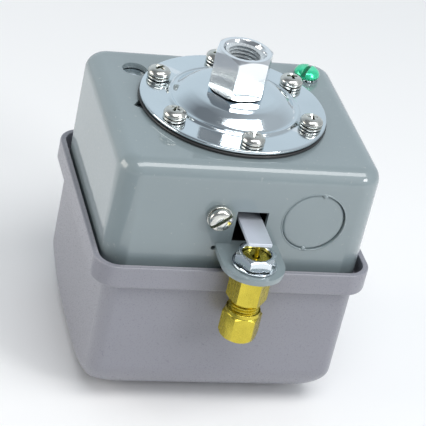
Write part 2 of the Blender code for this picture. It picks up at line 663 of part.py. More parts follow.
def build_piston():
    top = DIAPHRAGM_BOTTOM - GAP
    foot = PLATE_TOP + GAP
    profile = [(0, top), (14.0, top), (14.6, top - 0.5), (14.6, top - 3.0), (5.5, top - 3.6), (4.0, top - 5.0),
               (4.0, foot + 1.2), (2.8, foot), (0, foot)]
    return turned("piston", profile, (0, 0, 0), "phenolic", steps=26)


def stud(name, radius, end_z, at, look):
    """Shouldered stud riveted into the frame plate, threaded towards the cover."""
    low = FRAME_TOP - FRAME_THICK
    profile = [(0, FRAME_TOP - 0.1), (1.8, FRAME_TOP - 0.1), (1.8, low - GAP), (4.0, low - GAP),
               (4.0, low - GAP - 1.5), (radius, low - GAP - 1.5), (radius, end_z + 0.6), (radius - 0.6, end_z),
               (0, end_z)]
    return turned(name, profile, (at[0], at[1], 0.0), look, steps=14)


def hex_nut(name, across_flats, bore_r, z0, z1, at, look, spin=0.0, flange_r=0.0):
    nut = rod(name, hex_radius(across_flats), z0, z1, at, look, segments=6, spin=spin)
    half = across_flats / 2
    corner = hex_radius(across_flats) + 0.05
    envelope = turned(name + "_envelope", [(0, z1), (half, z1), (corner, z1 - 0.5), (corner, z0 + 0.5), (half, z0),
                                           (0, z0)], (at[0], at[1], 0.0), steps=22)
    boolean(nut, envelope, 'INTERSECT')
    if flange_r:
        join(nut, rod(name + "_flange", flange_r, z1 - 1.0, z1 + 0.2, at, segments=18))
    cut(nut, rod(name + "_bore", bore_r, z0 - 1, z1 + 2, at, segments=14))
    return nut


def build_adjusters():
    under = PLATE_TOP - PLATE_THICK - GAP
    stud("range_stud", 2.5, -62.0, RANGE_AT, "zinc")
    spring("range_spring", 6.4, 1.0, -48.7, under, 5.5, RANGE_AT, "spring_steel", -48.7)
    turned("range_seat", [(8.0, 0.0), (8.0, -1.1), (2.8, -1.1), (2.8, 0.0)], (*RANGE_AT, -49.0), "zinc", steps=18,
           closed=True)
    hex_nut("range_nut", 10.0, 2.8, -54.6, -50.4, RANGE_AT, "zinc", spin=10.0)
    stud("differential_stud", 2.0, -52.0, DIFFERENTIAL_AT, "zinc")
    spring("differential_spring", 4.4, 0.6, -41.4, under, 5, DIFFERENTIAL_AT, "spring_steel", -41.4)
    hex_nut("differential_nut", 8.0, 2.3, -45.6, -41.9, DIFFERENTIAL_AT, "zinc", spin=25.0, flange_r=5.6)


# ---------------------------------------------------------------- contacts

def build_contacts():
    blk = block("contact_block", (-BLOCK_HALF_X, BLOCK_FRONT, BLOCK_BOTTOM), (BLOCK_HALF_X, BLOCK_BACK, BLOCK_TOP),
                "phenolic")
    for k, x in enumerate((-16.0, 0.0, 16.0)):
        lo = (x - 1.1, BLOCK_FRONT, BLOCK_BOTTOM - 6.0)
        hi = (x + 1.1, -21.0, BLOCK_BOTTOM + 1.0)
        join(blk, block("barrier_%d" % k, lo, hi))
    cut(blk, block("stem_cut", (-4.6, -17.6, -50), (4.6, -10.9, -30)))
    for k, side in enumerate((-1, 1)):
        cut(blk, rod("block_screw_cut_%d" % k, 2.0, -50, -30, (side * 31.2, -22.0), segments=10))
        slotted_screw("block_screw_%d" % (k + 1), 3.0, 2.0, 14.0, (side * 31.2, -22.0, BLOCK_BOTTOM - GAP),
                      "screw_steel", (180, 0, 0), 20.0 + 40.0 * k, steps=10, shank_r=1.7)
    strip_top = BLOCK_BOTTOM - GAP
    strip_low = strip_top - 1.2
    button_low = strip_low - 1.0
    for k, x in enumerate(POLE_X):
        cut(blk, rod("terminal_cut_%d" % k, 2.0, BLOCK_BOTTOM - 2, BLOCK_BOTTOM + 7, (x, TERMINAL_SCREW_Y),
                     segments=10))
        strip = block("terminal_%d" % (k + 1), (x - 3.5, -33.5, strip_low), (x + 3.5, -11.2, strip_top), "brass")
        join(strip, rod("fixed_button_%d" % k, 2.2, button_low, strip_low + 0.5, (x, CONTACT_Y), segments=14))
        cut(strip, rod("strip_cut_%d" % k, 2.0, -50, -40, (x, TERMINAL_SCREW_Y), segments=10))
        slotted_screw("terminal_screw_%d" % (k + 1), 3.2, 2.2, 7.0, (x, TERMINAL_SCREW_Y, strip_low - GAP),
                      "screw_steel", (180, 0, 0), 15.0 + 50.0 * k, steps=10, shank_r=1.7)
    bridge_top = button_low - GAP - 1.1
    bridge_low = bridge_top - 1.1
    for k, side in enumerate((-1, 1)):
        x0, x1 = sorted((side * 6.0, side * 26.0))
        bar = block("moving_contact_%d" % (k + 1), (x0, CONTACT_Y - 2.6, bridge_low),
                    (x1, CONTACT_Y + 2.6, bridge_top), "silver")
        for n, x in enumerate((side * 9.0, side * 23.0)):
            join(bar, rod("moving_button_%d_%d" % (k, n), 2.2, bridge_top - 0.5, button_low - GAP, (x, CONTACT_Y),
                          segments=14))
    bar_top = bridge_low - GAP
    stem_top = PLATE_TOP - PLATE_THICK - GAP
    carrier = block("contact_carrier", (-18.0, CONTACT_Y - 3.0, bar_top - 4.6), (18.0, CONTACT_Y + 3.0, bar_top),
                    "phenolic")
    join(carrier, block("carrier_stem", (-4.2, CONTACT_Y - 3.0, bar_top - 1.0), (4.2, CONTACT_Y + 2.8, stem_top)))
    join(carrier, rod("carrier_collar", 7.6, -26.6, -25.2, (0.0, CONTACT_Y), segments=18))
    spring("carrier_spring", 6.5, 0.5, BLOCK_TOP + GAP, -26.9, 4, (0.0, CONTACT_Y), "spring_steel", BLOCK_TOP + GAP)


# ---------------------------------------------------------------- cover

def end_height(y):
    """Height of the end wall's outside: flat in the middle, curving up towards front and back."""
    reach = max(0.0, abs(y) - END_FLAT_HALF_Y)
    return -CASE_TOP + END_RADIUS - math.sqrt(END_RADIUS ** 2 - reach ** 2)


def rounded_outline(half_x, half_y, radius, per_corner=4, side_points=5):
    """Closed outline, mirror-symmetric in X, with extra points along the two long sides."""
    quarter = []
    for k in range(per_corner + 1):
        a = math.radians(90.0 * k / per_corner)
        quarter.append((half_x - radius + radius * math.cos(a), half_y - radius + radius * math.sin(a)))
    reach = half_y - radius
    side = [(half_x, -reach + 2 * reach * (k + 1) / (side_points + 1)) for k in range(side_points)]
    right = [(x, -y) for x, y in reversed(quarter)] + side + quarter
    left = [(-x, y) for x, y in reversed(right)]
    return right + left


def build_cover():
    """Loft of rings: end wall outside, body, stepped rim, ledge and back down the inside."""
    rings = []

    def ring(half_x, half_y, radius, z=None, above_end=None):
        points = rounded_outline(half_x, half_y, radius)
        if z is None:
            rings.append([(x, y, end_height(y) + above_end) for x, y in points])
        else:
            rings.append([(x, y, z) for x, y in points])

    def end_fillet(half_x, half_y, corner, edge, wall, steps, outside):
        levels = [90.0 * k / steps for k in range(steps + 1)]
        if not outside:
            levels.reverse()
        for level in levels:
            a = math.radians(level)
            inset = edge * (1 - math.sin(a))
            radius = corner + (edge * 1.05 - corner) * (1 - math.sin(a))
            ring(half_x - inset, half_y - inset, radius, above_end=wall + edge * (1 - math.cos(a)))

    t = COVER_WALL
    end_fillet(BODY_HALF_X, BODY_HALF_Y, BODY_CORNER_R, END_EDGE_R, 0.0, 4, True)
    ring(BODY_HALF_X, BODY_HALF_Y, BODY_CORNER_R, RIM_BOTTOM)
    ring(RIM_HALF_X - 0.8, RIM_HALF_Y - 0.8, RIM_CORNER_R - 0.8, RIM_BOTTOM)
    ring(RIM_HALF_X, RIM_HALF_Y, RIM_CORNER_R, RIM_BOTTOM + 0.8)
    ring(RIM_HALF_X, RIM_HALF_Y, RIM_CORNER_R, RIM_TOP - 0.4)
    ring(RIM_HALF_X - 0.4, RIM_HALF_Y - 0.4, RIM_CORNER_R - 0.4, RIM_TOP)
    ring(RIM_HALF_X - t + 0.3, RIM_HALF_Y - t + 0.3, RIM_CORNER_R - t + 0.3, RIM_TOP)
    ring(RIM_HALF_X - t, RIM_HALF_Y - t, RIM_CORNER_R - t, RIM_TOP - 0.3)
    ring(RIM_HALF_X - t, RIM_HALF_Y - t, RIM_CORNER_R - t, LEDGE_Z)
    inner = BODY_CORNER_R - t
    ring(BODY_HALF_X - t, BODY_HALF_Y - t, inner, LEDGE_Z)
    end_fillet(BODY_HALF_X - t, BODY_HALF_Y - t, inner, END_EDGE_R - t, t, 3, False)

    bm = bmesh.new()
    grid = [[bm.verts.new(p) for p in points] for points in rings]
    count = len(grid[0])
    for low, high in zip(grid, grid[1:]):
        for i in range(count):
            j = (i + 1) % count
            bm.faces.new((low[i], low[j], high[j], high[i]))
    half = count // 2
    for end in (grid[0], grid[-1]):
        for i in range(half - 1):
            bm.faces.new((end[i], end[i + 1], end[count - 2 - i], end[count - 1 - i]))
    cover = add_object("cover", mesh_from("cover", bm), (0, 0, 0), "cover_plastic")

    # sunk pocket for the retaining nut, with its boss on the inside
    floor = -90.0
    join(cover, rod("pocket_boss", 9.4, end_height(POST_AT[1]) + 1.0, floor + t, POST_AT, segments=24))
    cut(cover, rod("pocket_cut", 7.2, -CASE_TOP - 4, floor, POST_AT, segments=24))
    cut(cover, rod("pocket_hole_cut", 3.0, floor - 2, floor + t + 3, POST_AT, segments=14))
    return cover


def build_retainer():
    stud("cover_post", 2.5, -94.0, POST_AT, "zinc")
    nut = hex_nut("cover_nut", 8.0, 2.8, -94.6, -90.3, POST_AT, "zinc", spin=5.0)
    cap = turned("cover_nut_cap", [(0, -94.0), (3.9, -94.0), (3.4, -95.4), (1.8, -96.2), (0, -96.3)],
                 (*POST_AT, 0.0), steps=16)
    well = rod("cover_nut_well", 2.8, -94.3, -90.0, POST_AT, segments=14)
    nut.modifiers.remove(nut.modifiers["cover_nut_bore"])
    bpy.data.objects.remove(bpy.data.objects["cover_nut_bore"], do_unlink=True)
    join(nut, cap)
    cut(nut, well)


build_case()
build_knockout()
build_diaphragm()
build_flange()
build_port()
build_flange_screws()
build_outer_screws()
build_valve()
build_levers()
build_frame()
build_piston()
build_adjusters()
build_contacts()
build_cover()
build_retainer()

for part in PARTS.objects:
    if part.type == 'MESH' and not part.modifiers:
        smooth(part)
bpy.context.view_layer.update()
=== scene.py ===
import json
import math

import bmesh
import bpy
from mathutils import Euler, Matrix, Vector


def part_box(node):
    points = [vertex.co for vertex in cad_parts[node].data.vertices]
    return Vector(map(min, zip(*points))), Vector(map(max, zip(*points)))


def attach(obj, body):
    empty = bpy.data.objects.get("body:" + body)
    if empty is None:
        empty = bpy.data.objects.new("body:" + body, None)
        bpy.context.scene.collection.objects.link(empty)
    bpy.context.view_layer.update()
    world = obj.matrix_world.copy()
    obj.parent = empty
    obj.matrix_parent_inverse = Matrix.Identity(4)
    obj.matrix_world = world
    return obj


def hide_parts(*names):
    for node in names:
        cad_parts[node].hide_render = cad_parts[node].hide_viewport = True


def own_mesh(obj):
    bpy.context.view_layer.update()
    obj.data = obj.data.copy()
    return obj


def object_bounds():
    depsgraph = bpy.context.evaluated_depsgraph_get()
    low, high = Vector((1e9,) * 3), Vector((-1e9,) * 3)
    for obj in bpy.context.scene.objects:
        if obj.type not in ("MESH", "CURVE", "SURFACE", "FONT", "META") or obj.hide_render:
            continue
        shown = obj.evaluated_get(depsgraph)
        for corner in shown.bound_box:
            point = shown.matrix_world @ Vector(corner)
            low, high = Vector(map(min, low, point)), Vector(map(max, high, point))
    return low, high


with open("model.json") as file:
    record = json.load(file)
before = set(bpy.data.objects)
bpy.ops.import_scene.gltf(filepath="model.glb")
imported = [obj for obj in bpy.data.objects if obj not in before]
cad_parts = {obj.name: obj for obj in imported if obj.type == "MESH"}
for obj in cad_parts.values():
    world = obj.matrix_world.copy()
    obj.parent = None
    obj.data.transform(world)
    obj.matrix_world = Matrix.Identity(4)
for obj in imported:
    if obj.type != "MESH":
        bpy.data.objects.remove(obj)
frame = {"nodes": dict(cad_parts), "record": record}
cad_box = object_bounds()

MM = 0.001
record = frame["record"]
BODY_OF = {node: body for body, nodes in record["behaviour"]["bodies"].items() for node in nodes}
SLOT_OF = {entry["node"]: entry["material_slot"] for entry in record["subparts"]}

port_low, port_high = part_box("port_fitting")
ORIGIN = Vector(((port_low.x + port_high.x) / 2, (port_low.y + port_high.y) / 2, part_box("case")[1].z))


def span(node):
    """Lowest and highest corner of a CAD node in the drawing frame."""
    low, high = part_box(node)
    return (low - ORIGIN) / MM, (high - ORIGIN) / MM


def middle(node):
    low, high = span(node)
    return (low + high) / 2


# ---------------------------------------------------------------- materials

NOISE_ROUGHNESS = 0.55


def link(tree, out, target):
    tree.links.new(out, target)


def noise(tree, coord, scale, detail=3.0):
    node = tree.nodes.new("ShaderNodeTexNoise")
    node.inputs["Scale"].default_value = scale
    node.inputs["Detail"].default_value = detail
    node.inputs["Roughness"].default_value = NOISE_ROUGHNESS
    link(tree, coord, node.inputs["Vector"])
    return node.outputs["Fac"]


def ranged(tree, value, low, high, start=0.3, end=0.7):
    """Stretch a value from its usual span to the wanted one."""
    node = tree.nodes.new("ShaderNodeMapRange")
    node.inputs["From Min"].default_value = start
    node.inputs["From Max"].default_value = end
    node.inputs["To Min"].default_value = low
    node.inputs["To Max"].default_value = high
    link(tree, value, node.inputs["Value"])
    return node.outputs["Result"]


def blended(tree, factor, first, second):
    """Mix of two colours, each a colour tuple or a socket."""
    node = tree.nodes.new("ShaderNodeMix")
    node.data_type = 'RGBA'
    link(tree, factor, node.inputs["Factor"])
    for socket, value in (("A", first), ("B", second)):
        target = [s for s in node.inputs if s.name == socket and s.type == 'RGBA'][0]
        if isinstance(value, tuple):
            target.default_value = (*value, 1.0)
        else:
            link(tree, value, target)
    return [s for s in node.outputs if s.type == 'RGBA'][0]


def bumped(tree, height, distance, normal=None):
    node = tree.nodes.new("ShaderNodeBump")
    node.inputs["Strength"].default_value = 1.0
    node.inputs["Distance"].default_value = distance
    link(tree, height, node.inputs["Height"])
    if normal:
        link(tree, normal, node.inputs["Normal"])
    return node.outputs["Normal"]


def shade(rgb, factor):
    return tuple(min(1.0, c * factor) for c in rgb)


def finish(name, rgb, *, rough, tone, mottle, grain, grain_depth, metallic=0.0, specular=0.5,
           wave=0.0, wave_depth=0.0, coat=0.0, coat_rough=0.05, coat_ior=1.5,
           stretch=(1.0, 1.0, 1.0), edge=None, specks=None, speck_scale=400.0):
    """Procedural surface: mottled colour, uneven gloss, fine grain, slow waviness and edges lightened as a
    painted highlight.

    The scales of mottle, grain, wave and specks are per metre, and the two depths are in metres.
    """
    mat = bpy.data.materials.new(name)
    mat.use_nodes = True
    tree = mat.node_tree
    bsdf = tree.nodes["Principled BSDF"]
    bsdf.inputs["Metallic"].default_value = metallic
    bsdf.inputs["Coat Weight"].default_value = coat
    bsdf.inputs["Coat Roughness"].default_value = coat_rough
    bsdf.inputs["Coat IOR"].default_value = coat_ior
    bsdf.inputs["Specular IOR Level"].default_value = specular
    coords = tree.nodes.new("ShaderNodeTexCoord").outputs["Object"]
    mapping = tree.nodes.new("ShaderNodeMapping")
    mapping.inputs["Scale"].default_value = stretch
    link(tree, coords, mapping.inputs["Vector"])
    stretched = mapping.outputs["Vector"]

    patches = ranged(tree, noise(tree, coords, mottle), 0.0, 1.0)
    colour = blended(tree, patches, shade(rgb, 1 - tone), shade(rgb, 1 + tone))
    if specks:
        spots = ranged(tree, noise(tree, coords, speck_scale, 2.0), 0.0, 1.0, 0.68, 0.74)
        colour = blended(tree, spots, colour, specks)
    # painted highlight: convex edges and ridges, found by pointiness, are lightened towards the edge colour
    if edge:
        pointed = tree.nodes.new("ShaderNodeNewGeometry").outputs["Pointiness"]
        colour = blended(tree, ranged(tree, pointed, 0.0, 0.8, 0.52, 0.60), colour, edge)
    link(tree, colour, bsdf.inputs["Base Color"])

    fine = noise(tree, stretched, grain, 5.0)
    link(tree, ranged(tree, fine, *rough), bsdf.inputs["Roughness"])
    normal = bumped(tree, fine, grain_depth)
    if wave:
        slow = noise(tree, coords, wave, 1.0)
        normal = bumped(tree, slow, wave_depth, normal)
        if coat:
            link(tree, bumped(tree, slow, wave_depth), bsdf.inputs["Coat Normal"])
    link(tree, normal, bsdf.inputs["Normal"])
    return mat


# the edge colours in these looks are painted highlights along edges and ridges
ENAMEL = finish("enamel", (0.222, 0.274, 0.290), rough=(0.42, 0.52), tone=0.025, mottle=35.0, grain=1500.0,
                grain_depth=0.000003, wave=110.0, wave_depth=0.00004, coat=1.0, coat_rough=0.04, coat_ior=1.6,
                specks=(0.29, 0.33, 0.34), speck_scale=700.0)
COVER = finish("cover_plastic", (0.252, 0.253, 0.290), rough=(0.25, 0.34), specular=0.65, tone=0.035,
               mottle=22.0, grain=2600.0, grain_depth=0.000012, wave=60.0, wave_depth=0.00006,
               edge=(0.36, 0.355, 0.385), specks=(0.20, 0.20, 0.235), speck_scale=520.0)
ZINC = finish("zinc_plate", (0.74, 0.80, 0.84), metallic=1.0, rough=(0.07, 0.20), tone=0.05, mottle=45.0,
              grain=2200.0, grain_depth=0.000006, wave=120.0, wave_depth=0.00005, edge=(0.93, 0.95, 0.97))
ZINC_FLAT = finish("zinc_plate_pressed", (0.70, 0.775, 0.82), metallic=1.0, rough=(0.07, 0.15), tone=0.05,
                   mottle=30.0, grain=1700.0, grain_depth=0.000005, wave=90.0, wave_depth=0.00003,
                   edge=(0.93, 0.95, 0.97))
SCREW = finish("screw_steel", (0.66, 0.66, 0.62), metallic=1.0, rough=(0.12, 0.30), tone=0.10, mottle=260.0,
               grain=2600.0, grain_depth=0.00001, wave=420.0, wave_depth=0.00003, edge=(0.86, 0.86, 0.82))
# painted shade: a dark colour laid into screw recesses and slots in place of the shade inside them
RECESS_SHADE = finish("screw_recess_painted_shade", (0.075, 0.09, 0.055), metallic=0.6, rough=(0.35, 0.55), tone=0.15,
                mottle=500.0, grain=2600.0, grain_depth=0.00002)
THREAD = finish("thread_zinc", (0.70, 0.74, 0.76), metallic=0.55, rough=(0.22, 0.34), tone=0.06, mottle=160.0,
                grain=2600.0, grain_depth=0.00001)
# painted shade: dark green laid into the earth screw's slot in place of the shade inside it
GREEN_SLOT_SHADE = finish("green_slot_painted_shade", (0.006, 0.17, 0.09), metallic=0.4, rough=(0.35, 0.5), tone=0.2,
                    mottle=260.0, grain=2000.0, grain_depth=0.00001)
LEVER = finish("lever_steel", (0.58, 0.63, 0.69), metallic=0.45, rough=(0.36, 0.48), tone=0.05, mottle=90.0,
               grain=900.0, grain_depth=0.000004, stretch=(3.0, 0.35, 1.0), edge=(0.74, 0.78, 0.88))
BRASS = finish("brass", (0.62, 0.51, 0.07), metallic=1.0, rough=(0.20, 0.36), tone=0.12, mottle=120.0,
               grain=1500.0, grain_depth=0.00002, stretch=(1.0, 1.0, 0.25), wave=300.0, wave_depth=0.00005)
GREEN = finish("green_screw", (0.035, 0.74, 0.38), metallic=0.55, rough=(0.12, 0.26), tone=0.22, mottle=260.0,
               grain=2000.0, grain_depth=0.00001, coat=0.8, coat_rough=0.06, wave=350.0, wave_depth=0.00006,
               edge=(0.20, 0.78, 0.50))
RUBBER = finish("rubber", (0.018, 0.018, 0.019), rough=(0.30, 0.50), tone=0.2, mottle=150.0, grain=1800.0,
                grain_depth=0.00002, specular=0.6)
PHENOLIC = finish("phenolic", (0.022, 0.021, 0.020), rough=(0.28, 0.42), tone=0.2, mottle=120.0, grain=1600.0,
                  grain_depth=0.00001, edge=(0.07, 0.065, 0.06), specks=(0.05, 0.04, 0.035))
SPRING = finish("spring_wire", (0.42, 0.42, 0.43), metallic=1.0, rough=(0.22, 0.40), tone=0.12, mottle=200.0,
                grain=2000.0, grain_depth=0.00001)
SILVER = finish("silver_contact", (0.82, 0.79, 0.72), metallic=1.0, rough=(0.18, 0.32), tone=0.08,
                mottle=160.0, grain=2200.0, grain_depth=0.00001, edge=(0.95, 0.93, 0.88))
LOOK_OF_SLOT = {
    "enamel": ENAMEL, "cover_plastic": COVER, "zinc": ZINC, "screw_steel": SCREW, "lever_steel": LEVER,
    "brass": BRASS, "green_screw": GREEN, "rubber": RUBBER, "phenolic": PHENOLIC, "spring_steel": SPRING,
    "silver": SILVER,
}

for node_name, node_object in frame["nodes"].items():
    node_object.data.materials.clear()
    node_object.data.materials.append(LOOK_OF_SLOT[SLOT_OF[node_name]])


# ---------------------------------------------------------------- mesh helpers

def emit(name, bm, matrix=None, sharp=32.0):
    """Finish a bmesh drawn in millimetres as a smooth-shaded object in the frame's metres."""
    bmesh.ops.recalc_face_normals(bm, faces=bm.faces)
    if matrix:
        bm.transform(matrix)
    bm.transform(Matrix.Translation(ORIGIN) @ Matrix.Scale(MM, 4))
    mesh = bpy.data.meshes.new(name)
    bm.to_mesh(mesh)
    bm.free()
    obj = bpy.data.objects.new(name, mesh)
    bpy.context.scene.collection.objects.link(obj)
    mesh.shade_smooth()
    mesh.set_sharp_from_angle(angle=math.radians(sharp))
    return obj


def bake(obj, sharp=32.0):
    """Apply an object's modifiers to its mesh."""
    bpy.context.view_layer.update()
    graph = bpy.context.evaluated_depsgraph_get()
    mesh = bpy.data.meshes.new_from_object(obj.evaluated_get(graph))
    obj.modifiers.clear()
    obj.data = mesh
    mesh.shade_smooth()
    mesh.set_sharp_from_angle(angle=math.radians(sharp))
    return obj


def combine(obj, tools, operation):
    """Boolean of an object with its tools, which are used up."""
    for tool in tools:
        mod = obj.modifiers.new(tool.name, 'BOOLEAN')
        mod.operation = operation
        mod.object = tool
        mod.solver = 'EXACT'
    bake(obj)
    for tool in tools:
        bpy.data.objects.remove(tool, do_unlink=True)
    return obj


def carve(obj, *tools):
    return combine(obj, tools, 'DIFFERENCE')


def fuse(obj, *tools):
    return combine(obj, tools, 'UNION')


def common(obj, *tools):
    """Keep what the object and the tools share."""
    return combine(obj, tools, 'INTERSECT')


def round_edges(obj, width, segments=2, angle=40.0):
    """Small rounding on every edge sharper than the angle, with normals that keep flat faces flat."""
    sharp_after = 50.0
    mod = obj.modifiers.new("rounding", 'BEVEL')
    mod.width = width * MM
    mod.segments = segments
    mod.limit_method = 'ANGLE'
    mod.angle_limit = math.radians(angle)
    mod.use_clamp_overlap = True
    mod.miter_outer = 'MITER_ARC'
    bake(obj, sharp_after)
    return flat_normals(obj)


def flat_normals(obj, least_area=0.001):
    """Give every corner that touches an axis-aligned face that face's normal, so that it shades flat.

    The least area is in square millimetres.
    """
    aligned, same_side = 0.9998, 0.7
    mesh = obj.data
    normals = [Vector(corner.vector) for corner in mesh.corner_normals]
    flat_at = {}
    for face in mesh.polygons:
        axis = max(range(3), key=lambda i: abs(face.normal[i]))
        if abs(face.normal[axis]) > aligned and face.area > least_area * MM * MM:
            normal = Vector((0.0, 0.0, 0.0))
            normal[axis] = math.copysign(1.0, face.normal[axis])
            for vertex in face.vertices:
                flat_at.setdefault(vertex, []).append(normal)
    for face in mesh.polygons:
        for loop in face.loop_indices:
            for normal in flat_at.get(mesh.loops[loop].vertex_index, ()):
                if face.normal.dot(normal) > same_side:
                    normals[loop] = normal
    mesh.normals_split_custom_set(normals)
    return obj


def soften(points, radius, steps=3, closed=False):
    """Profile with its corners rounded; an open profile keeps its two ends."""
    count = len(points)
    result = [] if closed else [points[0]]
    for i in (range(count) if closed else range(1, count - 1)):
        here = Vector(points[i])
        before, after = Vector(points[i - 1]), Vector(points[(i + 1) % count])
        reach_in = min(radius, (before - here).length * 0.45)
        reach_out = min(radius, (after - here).length * 0.45)
        start = here + (before - here).normalized() * reach_in
        end = here + (after - here).normalized() * reach_out
        for k in range(steps + 1):
            t = k / steps
            result.append(tuple((1 - t) ** 2 * start + 2 * t * (1 - t) * here + t ** 2 * end))
    if not closed:
        result.append(points[-1])
    return result


def bridge(bm, first, second):
    """Quads between two rings of equal length."""
    count = len(first)
    for k in range(count):
        n = (k + 1) % count
        bm.faces.new((first[k], second[k], second[n], first[n]))


def lathe(name, profile, matrix=None, steps=72, closed=False, sharp=32.0):
    """Solid of revolution about Z from (radius, height) points; an open profile ends on the axis."""
    on_axis = 1e-6
    bm = bmesh.new()
    turns = [2 * math.pi * k / steps for k in range(steps)]
    rings = []
    for r, z in profile:
        if r < on_axis:
            rings.append([bm.verts.new((0, 0, z))])
        else:
            rings.append([bm.verts.new((r * math.cos(a), r * math.sin(a), z)) for a in turns])
    pairs = list(zip(rings, rings[1:]))
    if closed:
        pairs.append((rings[-1], rings[0]))
    for a, b in pairs:
        if len(a) == len(b):
            bridge(bm, a, b)
            continue
        for k in range(steps):
            n = (k + 1) % steps
            bm.faces.new((a[0], b[k], b[n]) if len(a) == 1 else (a[k], b[0], a[n]))
    return emit(name, bm, matrix, sharp)


def spot(x, y, z=0.0, turn=(0.0, 0.0, 0.0)):
    """Placing matrix: a turn in degrees, then a move, in millimetres."""
    return Matrix.Translation((x, y, z)) @ Euler([math.radians(a) for a in turn]).to_matrix().to_4x4()


def slab(name, outline, z0, z1, matrix=None):
    """Plate of a flat outline."""
    bm = bmesh.new()
    low = [bm.verts.new((x, y, z0)) for x, y in outline]
    high = [bm.verts.new((x, y, z1)) for x, y in outline]
    bm.faces.new(reversed(low))
    bm.faces.new(high)
    for k in range(len(outline)):
        n = (k + 1) % len(outline)
        bm.faces.new((low[k], low[n], high[n], high[k]))
    return emit(name, bm, matrix)


def drum(name, radius, z0, z1, matrix=None, steps=48, spin=0.0):
    """Plain cylinder or prism, the start of a hexagon or a tool for the Boolean steps."""
    turns = [math.radians(spin) + 2 * math.pi * k / steps for k in range(steps)]
    return slab(name, [(radius * math.cos(a), radius * math.sin(a)) for a in turns], z0, z1, matrix)


def brick(name, low, high, matrix=None):
    bm = bmesh.new()
    bmesh.ops.create_cube(bm, size=1.0)
    low, high = Vector(low), Vector(high)
    bmesh.ops.scale(bm, vec=high - low, verts=bm.verts)
    bmesh.ops.translate(bm, vec=(low + high) / 2, verts=bm.verts)
    return emit(name, bm, matrix)


def loft(name, rings, sharp=32.0):
    """Closed skin through rings of equal length, with a flat cap on the first and the last."""
    bm = bmesh.new()
    grid = [[bm.verts.new(p) for p in ring] for ring in rings]
    count = len(grid[0])
    for a, b in zip(grid, grid[1:]):
        for k in range(count):
            n = (k + 1) % count
            bm.faces.new((a[k], a[n], b[n], b[k]))
    half = count // 2
    for end in (grid[0], grid[-1]):
        for k in range(half - 1):
            bm.faces.new((end[k], end[k + 1], end[count - 2 - k], end[count - 1 - k]))
    return emit(name, bm, sharp=sharp)


def box_outline(half_x, half_y, radius, arc=12, side=1):
    """Closed rounded-box outline, mirror-symmetric in X, with extra points along the two X sides."""
    reach = half_y - radius
    turns = [math.radians(90.0 * k / arc) for k in range(arc + 1)]
    quarter = [(half_x - radius + radius * math.cos(a), reach + radius * math.sin(a)) for a in turns]
    edge = [(half_x, -reach + 2 * reach * (k + 1) / (side + 1)) for k in range(side)]
    right = [(x, -y) for x, y in reversed(quarter)] + edge + quarter
    return right + [(-x, y) for x, y in reversed(right)]


def ridge(name, root_r, crest_r, pitch, z0, z1, matrix=None, per_turn=36, crest=0.10, root=0.42):
    """Helical screw-thread ridge on a cylinder, running out at both ends.

    Crest and root are the half widths of the ridge in parts of the pitch.
    """
    runout, least, sunk = 0.35, 0.04, 0.35
    height = crest_r - root_r
    turns = (z1 - z0) / pitch
    bm = bmesh.new()
    rings = []
    for k in range(int(turns * per_turn) + 1):
        t = k / per_turn
        fade = max(least, min(1.0, t / runout, (turns - t) / runout))
        top = root_r + height * fade
        base = root_r - height * sunk
        angle = 2 * math.pi * t
        z = z0 + t * pitch
        section = ((base, -root * pitch), (top, -crest * pitch), (top, crest * pitch), (base, root * pitch))
        rings.append([bm.verts.new((r * math.cos(angle), r * math.sin(angle), z + dz)) for r, dz in section])
    for a, b in zip(rings, rings[1:]):
        bridge(bm, a, b)
    bm.faces.new(rings[0])
    bm.faces.new(reversed(rings[-1]))
    return emit(name, bm, matrix, sharp=30.0)


def hexagon(across_flats):
    """Radius of a hexagon's corners."""
    return across_flats / math.sqrt(3)


def piece(obj, node, look, replaces=True):
    """Dress a piece and let it ride on its node's body; unless it is an addition, it stands for the node."""
    obj.data.materials.clear()
    obj.data.materials.append(look)
    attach(obj, BODY_OF[node])
    if replaces:
        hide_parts(node)
    return obj


def paint(obj, look, matrix, inside):
    """Give a second look to the faces whose centre, in the matrix's own millimetres, passes the test; here it
    lays painted shade into recesses and slots.
    """
    obj.data.materials.append(look)
    back = matrix.inverted() @ Matrix.Scale(1 / MM, 4) @ Matrix.Translation(-ORIGIN)
    for face in obj.data.polygons:
        if inside(back @ face.center):
            face.material_index = 1


# ---------------------------------------------------------------- steel case

WALL = 2.0
CORNER_R = 8.5
EDGE_R = 5.6
ARC_STEPS = 12
case_low, case_high = span("case")
HALF_X = case_high.x
HALF_Y = case_high.y
DEPTH = -case_low.z

valve_at = middle("valve_body")
TAB_TOP = span("valve_nut")[0].z - 1.0
TAB_R = 11.1
TAB_END = case_low.y
WINDOW_HALF = 5.5
WINDOW_TOP = TAB_TOP + 13.0
SLOT_HALF = 7.2
ground_at = middle("ground_screw")
front_at = middle("front_screw")
knockout_at = middle("knockout_slug")
knockout_low, knockout_high = span("knockout_slug")
knockout_r = (knockout_high.x - knockout_low.x) / 2
KNOCKOUT_SUNK = 0.35
SCREW_HOLE_R = 2.3
RELIEF_R = 0.9
RELIEF_GAP = 0.2
TAB_HOLE_R = 4.95
PISTON_HOLE_R = 16.0
TOP_HOLE_AT = (-30.6, 23.8)
TOP_HOLE_R = 4.5
LOCATING_HOLE_AT = (-31.6, -1.0)
LOCATING_HOLE_SIDE = 6.0
LOCATING_HOLE_SPIN = 12.0


def facing_front(x, z, y=-HALF_Y):
    """Placing matrix whose Z axis points out of the front wall."""
    return spot(x, y, z, (90.0, 0.0, 0.0))


